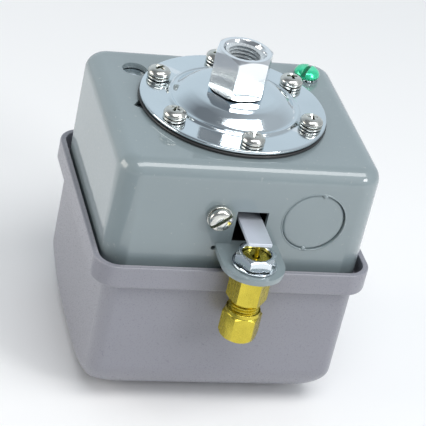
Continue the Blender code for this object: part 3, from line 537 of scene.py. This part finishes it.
def case_skin():
    """Steel box open at the bottom, its outside and inside in one closed skin."""
    rings = []

    def ring(inset, z):
        outline = box_outline(HALF_X - inset, HALF_Y - inset, CORNER_R - inset)
        rings.append([(x, y, z) for x, y in outline])

    def rounded_edge(inset, radius, top, levels):
        for level in levels:
            a = math.radians(90.0 * level / ARC_STEPS)
            ring(inset + radius * (1 - math.sin(a)), top - radius * (1 - math.cos(a)))

    rounded_edge(0.0, EDGE_R, 0.0, range(ARC_STEPS + 1))
    ring(0.0, -DEPTH)
    ring(WALL, -DEPTH)
    rounded_edge(WALL, EDGE_R - WALL, -WALL, range(ARC_STEPS, -1, -1))
    return loft("case_shell", rings)


def valve_tab():
    """Round-ended plate bent out of the front wall."""
    root_y = -HALF_Y + WALL - 0.4
    turns = [math.radians(a) for a in range(-180, 1, 6)]
    arc = [(TAB_R * math.cos(a), TAB_END + TAB_R + TAB_R * math.sin(a)) for a in turns]
    outline = [(valve_at.x + x, y) for x, y in [(-TAB_R, root_y), *arc, (TAB_R, root_y)]]
    return slab("tab_plate", outline, TAB_TOP - WALL, TAB_TOP)


def top_hole(radius, at, steps=48, spin=0.0):
    """Tool that passes through the case's top."""
    return drum("top_hole", radius, -8, 4, spot(at[0], at[1]), steps, spin)


def front_hole(radius, x, z, steps):
    """Tool that passes through the front wall."""
    return drum("front_hole", radius, -6, 2, facing_front(x, z), steps)


def case_cutters():
    """Tools for the lever window, the slot under the tab and every hole."""
    x = valve_at.x
    front = -HALF_Y
    slot_top = TAB_TOP - WALL
    cutters = [
        brick("window", (x - WINDOW_HALF, front - 2, TAB_TOP), (x + WINDOW_HALF, front + 6, WINDOW_TOP)),
        brick("slot", (x - SLOT_HALF, front - 2, -DEPTH - 3), (x + SLOT_HALF, front + 6, slot_top)),
        front_hole(RELIEF_R, x - TAB_R - RELIEF_GAP, slot_top, 20),
        front_hole(RELIEF_R, x + TAB_R + RELIEF_GAP, slot_top, 20),
        drum("tab_hole", TAB_HOLE_R, TAB_TOP - 6, TAB_TOP + 4, spot(x, valve_at.y)),
        top_hole(PISTON_HOLE_R, (0, 0)),
        top_hole(TOP_HOLE_R, TOP_HOLE_AT),
        top_hole(SCREW_HOLE_R, ground_at, 20),
        top_hole(LOCATING_HOLE_SIDE / math.sqrt(2), LOCATING_HOLE_AT, 4, LOCATING_HOLE_SPIN),
        front_hole(SCREW_HOLE_R, front_at.x, front_at.z, 20),
        front_hole(knockout_r + 0.3, knockout_at.x, knockout_at.z, 72),
    ]
    for k in range(1, 7):
        cutters.append(top_hole(SCREW_HOLE_R, middle("flange_screw_%d" % k), 16, 7.0))
    return cutters


def case_shell():
    """Case with its tab, window and holes."""
    case = case_skin()
    fuse(case, valve_tab())
    carve(case, *case_cutters())
    round_edges(case, 0.35, 2, 40.0)
    piece(case, "case", ENAMEL)


def knockout_burr():
    """Low ridge that the punch raised on the wall round the knockout."""
    inner, outer, height, sunk = knockout_r + 0.28, knockout_r + 0.95, 0.18, -0.3
    profile = [(inner, 0.0), (knockout_r + 0.5, height), (outer, 0.0), (outer, sunk), (inner, sunk)]
    place = facing_front(knockout_at.x, knockout_at.z)
    burr = lathe("knockout_burr", soften(profile, 0.12, 2, closed=True), place, 96, closed=True)
    piece(burr, "case", ENAMEL, replaces=False)


def knockout():
    """Slug of the conduit knockout, a little tilted, and the two bridges that hold it."""
    face = -HALF_Y + KNOCKOUT_SUNK
    depth = WALL - KNOCKOUT_SUNK
    r = knockout_r + 0.16
    profile = [(0, 0), (r - 1.5, 0), (r - 0.6, -0.08), (r, -0.5), (r, -depth), (0, -depth)]
    tilt = Matrix.Rotation(math.radians(1.6), 4, 'Y')
    place = facing_front(knockout_at.x, knockout_at.z, face - 0.15) @ tilt
    slug = lathe("knockout_slug_face", soften(profile, 0.3, 3), place, 96)
    piece(flat_normals(slug, 0.5), "knockout_slug", ENAMEL)
    bridge_r = r - 0.2
    bridge_profile = [(0, 0.75), (0.55, 0.66), (0.95, 0.2), (0.95, -1.2), (0, -1.2)]
    for k, angle in enumerate((80.0, 262.0), 1):
        a = math.radians(angle)
        x, z = knockout_at.x + bridge_r * math.cos(a), knockout_at.z + bridge_r * math.sin(a)
        bead = lathe("knockout_bridge_%d" % k, soften(bridge_profile, 0.3), facing_front(x, z, face), 24)
        piece(bead, "knockout_slug", ENAMEL, replaces=False)


# ---------------------------------------------------------------- diaphragm, flange and port

def diaphragm():
    """Sheet with a round corrugation and a flat clamped edge."""
    low, high = span("diaphragm")
    r = high.x
    thick, lift, edge = 1.1, 0.8, 0.15
    top = low.z + thick
    profile = [(0, top), (17.5, top), (19.0, top + lift), (20.5, top), (r - 1.0, top), (r, top - edge),
               (r, low.z + edge), (r - 1.0, low.z), (20.8, low.z), (19.0, low.z + lift), (17.2, low.z),
               (0, low.z)]
    sheet = lathe("diaphragm_sheet", soften(profile, 0.35, 3), None, 128)
    piece(sheet, "diaphragm", RUBBER)


def flange():
    """Pressed plate: flat dome round the port, shoulder, raised bead and flat rim for the screws."""
    low, high = span("pressure_flange")
    sheet = 1.2
    r, dome, top = high.x, high.z, low.z + sheet
    outer = [(6.6, dome), (13.8, dome - 0.2), (16.2, dome - 0.7), (18.2, dome - 1.8), (19.8, 4.9),
             (21.1, 3.8), (22.0, 3.35), (22.5, 3.6), (22.9, 3.75), (23.4, 3.5), (23.9, top), (r - 0.4, top),
             (r, top - 0.35)]
    inner = [(r, low.z), (22.4, low.z), (21.3, low.z + 0.6), (19.6, 3.2), (18.0, 4.6), (16.2, 5.7),
             (13.6, dome - 1.5), (6.6, dome - 1.3)]
    profile = soften(outer + inner, 0.7, 4, closed=True)
    plate = lathe("flange_plate", profile, None, 144, closed=True, sharp=40)
    holes = []
    for k in range(1, 7):
        at = middle("flange_screw_%d" % k)
        holes.append(drum("hole", SCREW_HOLE_R, 0, 6, spot(at.x, at.y), 20, 7.0))
    carve(plate, *holes)
    piece(flat_normals(plate, 0.02), "pressure_flange", ZINC_FLAT)


def port():
    """Hexagon with turned corners on a round neck, its mouth threaded inside."""
    low, high = span("port_fitting")
    top = high.z
    base, across, spin = 8.3, 18.6, 6.4
    turned_r, neck_r = 10.9, 6.2
    body = drum("port_hex", hexagon(across), base, top, None, 6, spin)
    envelope = soften([(0, top), (9.0, top), (turned_r, top - 1.25), (turned_r, base + 0.9), (9.6, base),
                       (0, base)], 0.15, 2)
    common(body, lathe("envelope", envelope, None, 120))
    fuse(body, drum("neck", neck_r, low.z, base + 0.5, None, 64))
    bore = [(0, top + 1), (8.7, top + 1), (7.7, top), (6.7, top - 1.2), (6.45, 11.0), (3.0, 9.2), (3.0, 3.0),
            (0, 3.0)]
    carve(body, lathe("bore", bore, None, 72))
    round_edges(body, 0.22, 3, 25.0)
    piece(body, "port_fitting", ZINC)
    # the pipe thread's crest is nearer the axis than its root, so the ridge stands inwards
    inside = ridge("port_thread", 6.55, 5.65, 1.41, 11.6, top - 0.9, None, 48, 0.06, 0.46)
    piece(inside, "port_fitting", THREAD, replaces=False)


# ---------------------------------------------------------------- screws

SHANK_R = 2.0
SHANK_TIP_R = 1.5


def shank(length, tip):
    """Profile of a screw below its head."""
    end = -length - tip
    return [(SHANK_R, 0.0), (SHANK_R, -length), (SHANK_TIP_R, end), (0, end)]


def driver_blade(matrix, top, depth, length, width, turn):
    """One tapering blade of a cross driver's tip."""
    bm = bmesh.new()
    spin = Matrix.Rotation(math.radians(turn), 4, 'Z')
    wide_end = (top + 1.0, length * 0.5 + 0.5, width * 0.5 + 0.12)
    narrow_end = (top - depth, length * 0.2, width * 0.3)
    corners = ((1, 1), (-1, 1), (-1, -1), (1, -1))
    high, low = [[bm.verts.new(spin @ Vector((sx * half_x, sy * half_y, z))) for sx, sy in corners]
                 for z, half_x, half_y in (wide_end, narrow_end)]
    bm.faces.new(high)
    bm.faces.new(reversed(low))
    for k in range(4):
        n = (k + 1) % 4
        bm.faces.new((high[n], high[k], low[k], low[n]))
    return emit("blade_%d" % turn, bm, matrix)


def flange_screw(k):
    """Cross-head pan screw; each is turned by its own angle."""
    node = "flange_screw_%d" % k
    head, r = 2.65, 4.12
    at = middle(node)
    place = spot(at.x, at.y, span(node)[1].z - head, (0, 0, 17.0 * (k - 1)))
    profile = [(0, head), (1.6, 2.62), (2.7, 2.42), (3.5, 1.95), (r - 0.08, 1.2), (r, 0.7), (r, 0.25),
               (r - 0.25, 0.0), *shank(9.0, 0.6)]
    screw = lathe("pan_screw_%d" % k, soften(profile, 0.35, 3), place, 56)
    carve(screw, driver_blade(place, head, 1.7, 4.6, 1.1, 0), driver_blade(place, head, 1.69, 4.6, 1.1, 90))
    round_edges(screw, 0.12, 2, 45.0)
    piece(screw, node, SCREW)

    def in_recess(at):
        return at.xy.length < 2.3 and 0.3 < at.z < 2.28 - 0.1 * at.xy.length

    # painted shade: the faces inside the cross recess get the dark recess colour
    paint(screw, RECESS_SHADE, place, in_recess)


def split_washer(k):
    """Spring lock washer: its two cut ends stand a little apart in height."""
    node = "flange_lock_washer_%d" % k
    low, high = span(node)
    at = middle(node)
    inner, outer, thick = 2.35, 4.05, 0.82
    steps = 64
    gap = math.radians(5.0)
    lift = (high.z - low.z) - thick
    end_slant = {0: -0.10, steps: 0.10}
    section = soften([(outer, thick), (outer, 0.0), (inner, 0.0), (inner, thick)], 0.22, 2, closed=True)
    bm = bmesh.new()
    rings = []
    for i in range(steps + 1):
        t = i / steps
        a = gap + (2 * math.pi - 2 * gap) * t
        slant = end_slant.get(i, 0.0)
        rings.append([bm.verts.new((r * math.cos(a), r * math.sin(a) + slant * (z - thick / 2), z + lift * t))
                      for r, z in section])
    for a, b in zip(rings, rings[1:]):
        bridge(bm, a, b)
    bm.faces.new(reversed(rings[0]))
    bm.faces.new(rings[-1])
    washer = emit("split_washer_%d" % k, bm, spot(at.x, at.y, low.z, (0, 0, 205.0 + 53.0 * k)))
    piece(washer, node, SCREW)


def ground_screw():
    """Green earth screw: slotted binding head with a serrated underside."""
    node = "ground_screw"
    low, high = span(node)
    head, half_slot, serrations = 3.2, 0.75, 24
    r = (high.x - low.x) / 2
    place = spot(ground_at.x, ground_at.y, high.z - head, (0, 0, 55.0))
    profile = [(0, head), (2.6, 3.05), (3.9, 2.5), (r - 0.15, 1.5), (r, 1.0), (r, 0.3), (r - 0.3, 0.0),
               *shank(7.0, 0.5)]
    screw = lathe("earth_screw", soften(profile, 0.4, 3), place, 96)
    tools = [brick("slot", (-r - 1, -half_slot, 1.5), (r + 1, half_slot, 6.0), place)]
    for n in range(serrations):
        notch = place @ Matrix.Rotation(2 * math.pi * n / serrations, 4, 'Z')
        tools.append(brick("serration", (r - 0.75, -0.22, -0.5), (r + 0.6, 0.22, 0.85), notch))
    carve(screw, *tools)
    round_edges(screw, 0.12, 2, 40.0)
    piece(screw, node, GREEN)
    # painted shade: the slot's faces get a dark green in place of the shade inside it
    paint(screw, GREEN_SLOT_SHADE, place, lambda at: abs(at.y) < half_slot + 0.03 and 1.2 < at.z < 2.3)


def toothed_washer(name, node, inner, outer, root, count, inside):
    """Lock washer with teeth on its inner or outer side."""
    low, high = span(node)
    at = middle(node)
    section = [(outer, high.z), (outer, low.z), (inner, low.z), (inner, high.z)]
    washer = lathe(name, soften(section, 0.12, 2, closed=True), spot(at.x, at.y), 96, closed=True)
    half_gap = 0.5 * math.pi * min(inner + 1.0, root) / count
    near, far = (inner - 1.0, root) if inside else (root, outer + 1.0)
    tools = []
    for k in range(count):
        place = spot(at.x, at.y, 0, (0, 0, 360.0 / count * (k + 0.5)))
        tools.append(brick("tooth_gap", (near, -half_gap, low.z - 1), (far, half_gap, high.z + 1), place))
    carve(washer, *tools)
    round_edges(washer, 0.08, 2, 45.0)
    piece(washer, node, ZINC)


def front_screw():
    """Slotted screw in the front wall and the plain washer under its head."""
    node = "front_screw"
    low, high = span(node)
    r = (high.x - low.x) / 2
    head, half_slot = 2.5, 0.65
    seat = -HALF_Y - 1.9
    place = facing_front(front_at.x, front_at.z, seat) @ Matrix.Rotation(math.radians(38.0), 4, 'Z')
    profile = [(0, head), (2.4, 2.42), (3.6, 2.1), (r - 0.1, 1.45), (r, 1.1), (r, 0.2), (r - 0.25, 0.0),
               *shank(7.0, 0.5)]
    screw = lathe("wall_screw", soften(profile, 0.4, 3), place, 80)
    carve(screw, brick("slot", (-r - 1, -half_slot, 1.15), (r + 1, half_slot, 6.0), place))
    round_edges(screw, 0.13, 2, 40.0)
    piece(screw, node, SCREW)
    # painted shade: the slot's faces get the dark recess colour
    paint(screw, RECESS_SHADE, place, lambda at: abs(at.y) < half_slot + 0.03 and 0.9 < at.z < 1.9)

    inner, outer, thick = SCREW_HOLE_R, 4.4, 1.4
    ring = soften([(outer, thick), (outer, 0.0), (inner, 0.0), (inner, thick)], 0.2, 3, closed=True)
    washer = lathe("wall_washer", ring, facing_front(front_at.x, front_at.z, -HALF_Y - 0.2), 80, closed=True)
    piece(washer, "front_washer", SCREW)


# ---------------------------------------------------------------- release valve

# Turn of each hexagon about the valve's axis, in degrees.
BRASS_SPIN = 47.5
NUT_SPIN = 2.5
TUBE_NUT_SPIN = 55.0
BODY_ACROSS = 12.3
NUT_ACROSS = 12.7
TUBE_R = 3.3
THREAD_STEPS = 48


def turned_hexagon(name, across, low, high, spin, envelope, matrix):
    """Hexagonal prism on the valve's axis, its corners turned down to the envelope's profile."""
    at = spot(valve_at.x, valve_at.y)
    prism = drum(name, hexagon(across), low, high, at, 6, spin)
    return common(prism, lathe("envelope", envelope, matrix, 96))


def valve():
    """Brass body: hexagon under the tab, threaded neck through it and threaded tail for the tube nut."""
    at = spot(valve_at.x, valve_at.y)
    base = TAB_TOP
    here = spot(valve_at.x, valve_at.y, base)
    seat = -WALL - 0.3
    hex_low, hex_r = -13.6, 7.2
    shape = soften([(0, seat), (6.6, seat), (hex_r, seat - 0.5), (hex_r, hex_low + 0.5), (5.7, hex_low - 0.2),
                    (0, hex_low - 0.2)], 0.12, 2)
    body = turned_hexagon("valve_hex", BODY_ACROSS, base + hex_low, base + seat, BRASS_SPIN, shape, here)
    neck = drum("neck", 4.6, base + seat - 1.0, base + 3.1, at, 64)
    tail_r, tail_end = 4.75, -23.0
    tail = [(0, hex_low + 1), (tail_r, hex_low + 1), (tail_r, tail_end + 1.2), (4.2, tail_end), (0, tail_end)]
    fuse(body, neck, lathe("tail", soften(tail, 0.15, 2), here, 64))
    passage = [(0, 9.0), (1.4, 9.0), (1.4, -0.6), (2.9, -1.4), (2.9, -12.6), (1.5, -13.6), (1.5, -15.6),
               (TUBE_R, -15.6), (TUBE_R, -26.6), (0, -26.6)]
    carve(body, lathe("passage", passage, here, 40))
    round_edges(body, 0.16, 2, 35.0)
    piece(body, "valve_body", BRASS)
    thread = ridge("valve_thread", tail_r, 5.42, 1.25, base - 21.2, base - 14.3, at, THREAD_STEPS, 0.08, 0.46)
    piece(thread, "valve_body", BRASS, replaces=False)
    fine_thread = ridge("neck_thread", 4.55, 4.82, 0.8, base + 0.2, base + 2.7, at, THREAD_STEPS, 0.08, 0.46)
    piece(fine_thread, "valve_body", BRASS, replaces=False)


def valve_nut():
    """Jam nut on the tab with a wide countersink."""
    here = spot(valve_at.x, valve_at.y, TAB_TOP)
    bottom, top, r = 1.0, 5.0, 7.35
    shape = soften([(0, top), (6.0, top), (r, top - 0.9), (r, bottom + 0.5), (6.6, bottom), (0, bottom)],
                   0.12, 2)
    nut = turned_hexagon("jam_nut", NUT_ACROSS, TAB_TOP + bottom, TAB_TOP + top, NUT_SPIN, shape, here)
    bore = [(0, 6.4), (6.2, 6.4), (4.95, 4.5), (4.9, 1.5), (5.4, -0.6), (0, -0.6)]
    carve(nut, lathe("bore", bore, here, 64))
    round_edges(nut, 0.16, 3, 30.0)
    piece(nut, "valve_nut", ZINC)


def valve_pin():
    """Plunger with a collar for its spring."""
    low, high = span("valve_pin")
    top, bottom = high.z - TAB_TOP, low.z - TAB_TOP
    tip_r, stem_r, collar_r = 0.75, 0.9, 2.5
    profile = [(0, top), (0.45, top - 0.02), (tip_r, top - 0.5), (tip_r, -1.2), (1.0, -2.0), (collar_r, -2.0),
               (collar_r, -3.2), (stem_r, -3.2), (stem_r, bottom), (0, bottom)]
    place = spot(valve_at.x, valve_at.y, TAB_TOP)
    piece(lathe("valve_plunger", soften(profile, 0.15, 3), place, 40), "valve_pin", BRASS)


def compression_nut():
    """Tube nut, its lower end turned to a cone and its bore tapering to the tube."""
    low, high = span("compression_nut")
    top, bottom = high.z, low.z
    r = 7.25
    at = spot(valve_at.x, valve_at.y)
    shape = soften([(0, top), (6.0, top), (6.05, top - 1.5), (r, top - 2.3), (r, bottom + 2.4),
                    (6.35, bottom + 0.7), (5.2, bottom), (0, bottom)], 0.25, 3)
    nut = turned_hexagon("tube_nut", BODY_ACROSS, bottom, top, TUBE_NUT_SPIN, shape, at)
    bore = [(0, top + 1), (6.1, top + 1), (5.75, top - 0.4), (5.75, -56.1), (3.6, -57.7), (3.6, bottom - 1),
            (0, bottom - 1)]
    carve(nut, lathe("bore", bore, at, 64))
    round_edges(nut, 0.15, 2, 30.0)
    piece(nut, "compression_nut", BRASS)


# ---------------------------------------------------------------- lever

def release_lever():
    """Flat strip riveted to the main lever; it reaches out through the window."""
    low, high = span("release_lever")
    corners = [(low.x, low.y), (high.x, low.y), (high.x, high.y), (low.x, high.y)]
    strip = slab("lever_strip", soften(corners, 0.5, 3, closed=True), low.z, high.z)
    rivet = middle("lever_rivet")
    carve(strip, drum("rivet_hole", 1.8, -30, -10, spot(rivet.x, rivet.y), 24))
    round_edges(strip, 0.18, 3, 40.0)
    piece(strip, "release_lever", LEVER)


# ---------------------------------------------------------------- inner pieces

def inner_piece(node, width=0.15):
    """Stand-in for an inner CAD piece with its sharp edges rounded."""
    source = frame["nodes"][node]
    mesh = source.data.copy()
    bm = bmesh.new()
    bm.from_mesh(mesh)
    bmesh.ops.remove_doubles(bm, verts=bm.verts, dist=0.01 * MM)
    bmesh.ops.dissolve_limit(bm, angle_limit=math.radians(1.0), verts=bm.verts, edges=bm.edges)
    bm.to_mesh(mesh)
    bm.free()
    obj = bpy.data.objects.new(node + "_finished", mesh)
    obj.matrix_world = source.matrix_world
    bpy.context.scene.collection.objects.link(obj)
    round_edges(obj, width, 2, 40.0)
    piece(obj, node, LOOK_OF_SLOT[SLOT_OF[node]])


def stud_thread(node, radius, length, pitch):
    """Helical thread on the lower end of a hanging stud."""
    bottom = span(node)[0].z
    at = middle(node)
    thread = ridge(node + "_thread", radius - 0.05, radius + 0.14, pitch, bottom + 0.5, bottom + length,
                   spot(at.x, at.y), 32, 0.08, 0.42)
    piece(thread, node, LOOK_OF_SLOT[SLOT_OF[node]], replaces=False)


# ---------------------------------------------------------------- springs

def coil(node, wire, turns, look):
    """Round-wire spring with closed ends."""
    low, high = span(node)
    at = middle(node)
    radius = (high.x - low.x) / 2 - wire
    around, per_turn, closing = 10, 40, 0.75
    end_rings, end_taper = 3, 0.75
    count = int(turns * per_turn)
    rise = high.z - low.z - 2 * wire
    section = [2 * math.pi * n / around for n in range(around)]
    bm = bmesh.new()
    rings = []
    for i in range(count + 1):
        t = i / count
        a = 2 * math.pi * turns * t
        climb = t - closing * math.sin(2 * math.pi * t) / (2 * math.pi)
        centre = Vector((radius * math.cos(a), radius * math.sin(a), low.z + wire + rise * climb))
        outward = Vector((math.cos(a), math.sin(a), 0))
        thick = wire * (1.0 if end_rings < i < count - end_rings else end_taper)
        rings.append([bm.verts.new(centre + thick * (math.cos(b) * outward + Vector((0, 0, math.sin(b)))))
                      for b in section])
    for a, b in zip(rings, rings[1:]):
        bridge(bm, a, b)
    bm.faces.new(reversed(rings[0]))
    bm.faces.new(rings[-1])
    wound = emit(node + "_coil", bm, spot(at.x, at.y))
    piece(wound, node, look)
    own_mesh(wound)


# ---------------------------------------------------------------- plastic cover

COVER_WALL = 2.1
RIM_HEIGHT = 8.6
RIM_R = 8.8
LEDGE_DROP = 6.7
BODY_R = 5.2
END_RADIUS = 58.0
END_FLAT = 11.0
END_EDGE_R = 8.4
cover_low, cover_high = span("cover")
RIM_X, RIM_Y, RIM_TOP = cover_high.x, cover_high.y, cover_high.z
BODY_X, BODY_Y = RIM_X - 4.4, RIM_Y - 2.2


def end_z(y):
    """Height of the cover's closed end, flat in the middle and curving up towards front and back."""
    reach = max(0.0, abs(y) - END_FLAT)
    return cover_low.z + END_RADIUS - math.sqrt(END_RADIUS ** 2 - reach ** 2)


def cover_outline(half_x, half_y, radius):
    """Outline with enough points along its sides to follow the end's curve."""
    return box_outline(half_x, half_y, radius, 12, 24)


def cover_skin():
    """Tub with a banded rim: up the outside, over the rim and down the inside in one closed skin."""
    rings = []

    def ring(half_x, half_y, radius, z):
        rings.append([(x, y, z) for x, y in cover_outline(half_x, half_y, radius)])

    def rim_arc(radius, inset, height, start, step, count):
        """Rounding of the rim's section, from a start angle by equal steps."""
        for k in range(count):
            a = math.radians(start + step * k)
            grow = radius * math.cos(a) - inset
            ring(RIM_X + grow, RIM_Y + grow, RIM_R + grow, height + radius * math.sin(a))

    def end_fillet(inset, levels):
        """Rounding between the sides and the closed end, following the end's curve."""
        edge = END_EDGE_R - inset
        corner = BODY_R - inset
        for level in levels:
            rise = 1 - math.sin(level)
            step = edge * rise
            radius = corner + (edge * 1.05 - corner) * rise
            rings.append([(x, y, end_z(y) + inset + edge * (1 - math.cos(level))) for x, y in
                          cover_outline(BODY_X - inset - step, BODY_Y - inset - step, radius)])

    rim_bottom = RIM_TOP - RIM_HEIGHT
    ledge = RIM_TOP - LEDGE_DROP
    low_r, high_r, inner_r = 0.9, 0.55, 0.4
    end_fillet(0.0, [math.radians(90.0 * k / 12) for k in range(13)])
    for grow, drop in ((0.0, 0.5), (0.15, 0.15), (0.5, 0.0)):
        ring(BODY_X + grow, BODY_Y + grow, BODY_R + grow, rim_bottom - drop)
    rim_arc(low_r, low_r, rim_bottom + low_r, -90.0, 22.5, 5)
    rim_arc(high_r, high_r, RIM_TOP - high_r, 0.0, 22.5, 5)
    rim_arc(inner_r, COVER_WALL - inner_r, RIM_TOP - inner_r, 90.0, 30.0, 4)
    for half_x, half_y, radius in ((RIM_X, RIM_Y, RIM_R), (BODY_X, BODY_Y, BODY_R)):
        ring(half_x - COVER_WALL, half_y - COVER_WALL, radius - COVER_WALL, ledge)
    end_fillet(COVER_WALL, [math.radians(90.0 * k / 8) for k in range(8, -1, -1)])
    return loft("cover_shell", rings, 40.0)


def cover():
    """The tub with the pocket that the cover nut sits in."""
    shell = cover_skin()
    post = middle("cover_post")
    at = spot(post.x, post.y)
    floor = span("cover_nut")[1].z + 0.3
    fuse(shell, drum("pocket_boss", 9.4, end_z(post.y) + 1.0, floor + COVER_WALL, at, 64))
    carve(shell, drum("pocket", 7.2, cover_low.z - 4, floor, at, 64),
          drum("pocket_hole", 3.0, floor - 2, floor + COVER_WALL + 3, at, 32))
    round_edges(shell, 0.3, 2, 50.0)
    piece(shell, "cover", COVER)


# ---------------------------------------------------------------- stage, lights, camera

FLOOR_HALF = 4.0
FLOOR_GAP = 0.2 * MM


def stage_floor():
    """Matt white floor just under the part."""
    bm = bmesh.new()
    bmesh.ops.create_grid(bm, x_segments=2, y_segments=2, size=FLOOR_HALF)
    mesh = bpy.data.meshes.new("studio_floor")
    bm.to_mesh(mesh)
    bm.free()
    floor = bpy.data.objects.new("studio_floor", mesh)
    bpy.context.scene.collection.objects.link(floor)
    mat = bpy.data.materials.new("studio_floor")
    mat.use_nodes = True
    bsdf = mat.node_tree.nodes["Principled BSDF"]
    bsdf.inputs["Base Color"].default_value = (0.93, 0.93, 0.93, 1.0)
    bsdf.inputs["Roughness"].default_value = 0.9
    bsdf.inputs["Specular IOR Level"].default_value = 0.1
    mesh.materials.append(mat)
    floor.location.z = cad_box[0][2] - FLOOR_GAP


def softbox(name, at, target, size, energy, colour=(1.0, 1.0, 1.0)):
    """Rectangular lamp aimed at a target; places and sizes in metres, energy in watts."""
    light = bpy.data.lights.new(name, 'AREA')
    light.shape = 'RECTANGLE'
    light.size, light.size_y = size
    light.energy = energy
    light.color = colour
    lamp = bpy.data.objects.new(name, light)
    bpy.context.scene.collection.objects.link(lamp)
    lamp.location = at
    lamp.rotation_euler = (Vector(target) - Vector(at)).to_track_quat('-Z', 'Y').to_euler()


def world_light():
    """Grey studio, brightest behind the object and darkest at the upper left."""
    world = bpy.data.worlds.new("studio")
    bpy.context.scene.world = world
    world.use_nodes = True
    tree = world.node_tree
    coords = tree.nodes.new("ShaderNodeTexCoord").outputs["Generated"]
    split = tree.nodes.new("ShaderNodeSeparateXYZ")
    link(tree, coords, split.inputs["Vector"])
    right = ranged(tree, split.outputs["X"], 0.0, 1.0, -0.35, 0.6)
    front = blended(tree, right, (0.20, 0.215, 0.235), (0.50, 0.53, 0.56))
    back = ranged(tree, split.outputs["Y"], 0.0, 1.0, 0.25, 0.85)
    colour = blended(tree, back, front, (0.70, 0.78, 0.84))
    link(tree, colour, tree.nodes["Background"].inputs["Color"])
    tree.nodes["Background"].inputs["Strength"].default_value = 1.0


def dark_card():
    """Grey card at the left, seen only in glossy reflections."""
    card = brick("dark_card", (-620, -420, -97.5), (-85, 30, -97))
    mat = bpy.data.materials.new("dark_card")
    mat.use_nodes = True
    bsdf = mat.node_tree.nodes["Principled BSDF"]
    bsdf.inputs["Base Color"].default_value = (0.02, 0.02, 0.02, 1.0)
    bsdf.inputs["Emission Color"].default_value = (0.15, 0.19, 0.235, 1.0)
    bsdf.inputs["Emission Strength"].default_value = 1.0
    card.data.materials.append(mat)
    card.visible_camera = False
    card.visible_diffuse = False
    card.visible_shadow = False


def camera():
    """Long lens from the front left and above, tilted a little."""
    data = bpy.data.cameras.new("camera")
    data.sensor_width = 36.0
    data.lens = 163.895
    data.clip_end = 20.0
    cam = bpy.data.objects.new("camera", data)
    bpy.context.scene.collection.objects.link(cam)
    cam.location = (-0.197358, -0.554302, 0.421090)
    cam.rotation_euler = Euler([math.radians(a) for a in (57.812443, -11.133842, -12.561449)])
    bpy.context.scene.camera = cam


case_shell()
knockout_burr()
knockout()
diaphragm()
flange()
port()
for number in range(1, 7):
    flange_screw(number)
    split_washer(number)
ground_screw()
toothed_washer("earth_washer", "ground_lock_washer", 2.3, 4.5, 3.3, 12, False)
front_screw()
valve()
valve_nut()
toothed_washer("valve_washer", "valve_lock_washer", 5.0, 7.8, 7.25, 8, True)
valve_pin()
compression_nut()
release_lever()
for node_name, edge_width in {
    "mechanism_frame": 0.3, "main_lever": 0.3, "contact_block": 0.35, "contact_carrier": 0.25, "piston": 0.3,
    "pivot_pin": 0.2, "lever_rivet": 0.15, "range_stud": 0.3, "range_seat": 0.2, "range_nut": 0.25,
    "differential_stud": 0.3, "differential_nut": 0.25, "cover_post": 0.4, "cover_nut": 0.25,
}.items():
    inner_piece(node_name, edge_width)
for number in (1, 2):
    inner_piece("moving_contact_%d" % number)
for number in (1, 2):
    inner_piece("block_screw_%d" % number)
for number in range(1, 5):
    inner_piece("terminal_%d" % number)
    inner_piece("terminal_screw_%d" % number)
stud_thread("range_stud", 2.5, 20.0, 0.8)
stud_thread("differential_stud", 2.0, 14.0, 0.7)
stud_thread("cover_post", 2.5, 14.0, 0.8)
coil("range_spring", 1.0, 5.5, SPRING)
coil("differential_spring", 0.6, 5.0, SPRING)
coil("valve_spring", 0.35, 4.0, SPRING)
coil("carrier_spring", 0.5, 4.0, SPRING)
cover()

stage_floor()
world_light()
dark_card()
softbox("overhead", (0.13, -0.42, 1.05), (0, 0, 0.08), (1.15, 0.46), 7.8)
softbox("left", (-1.05, 0.10, 0.30), (0, 0, 0.05), (0.7, 0.5), 4.4, (1.0, 0.95, 0.88))
softbox("key", (0.75, -0.85, 0.70), (0, 0, 0.05), (0.35, 0.35), 4.2)
camera()
bpy.context.scene.view_settings.view_transform = 'Standard'
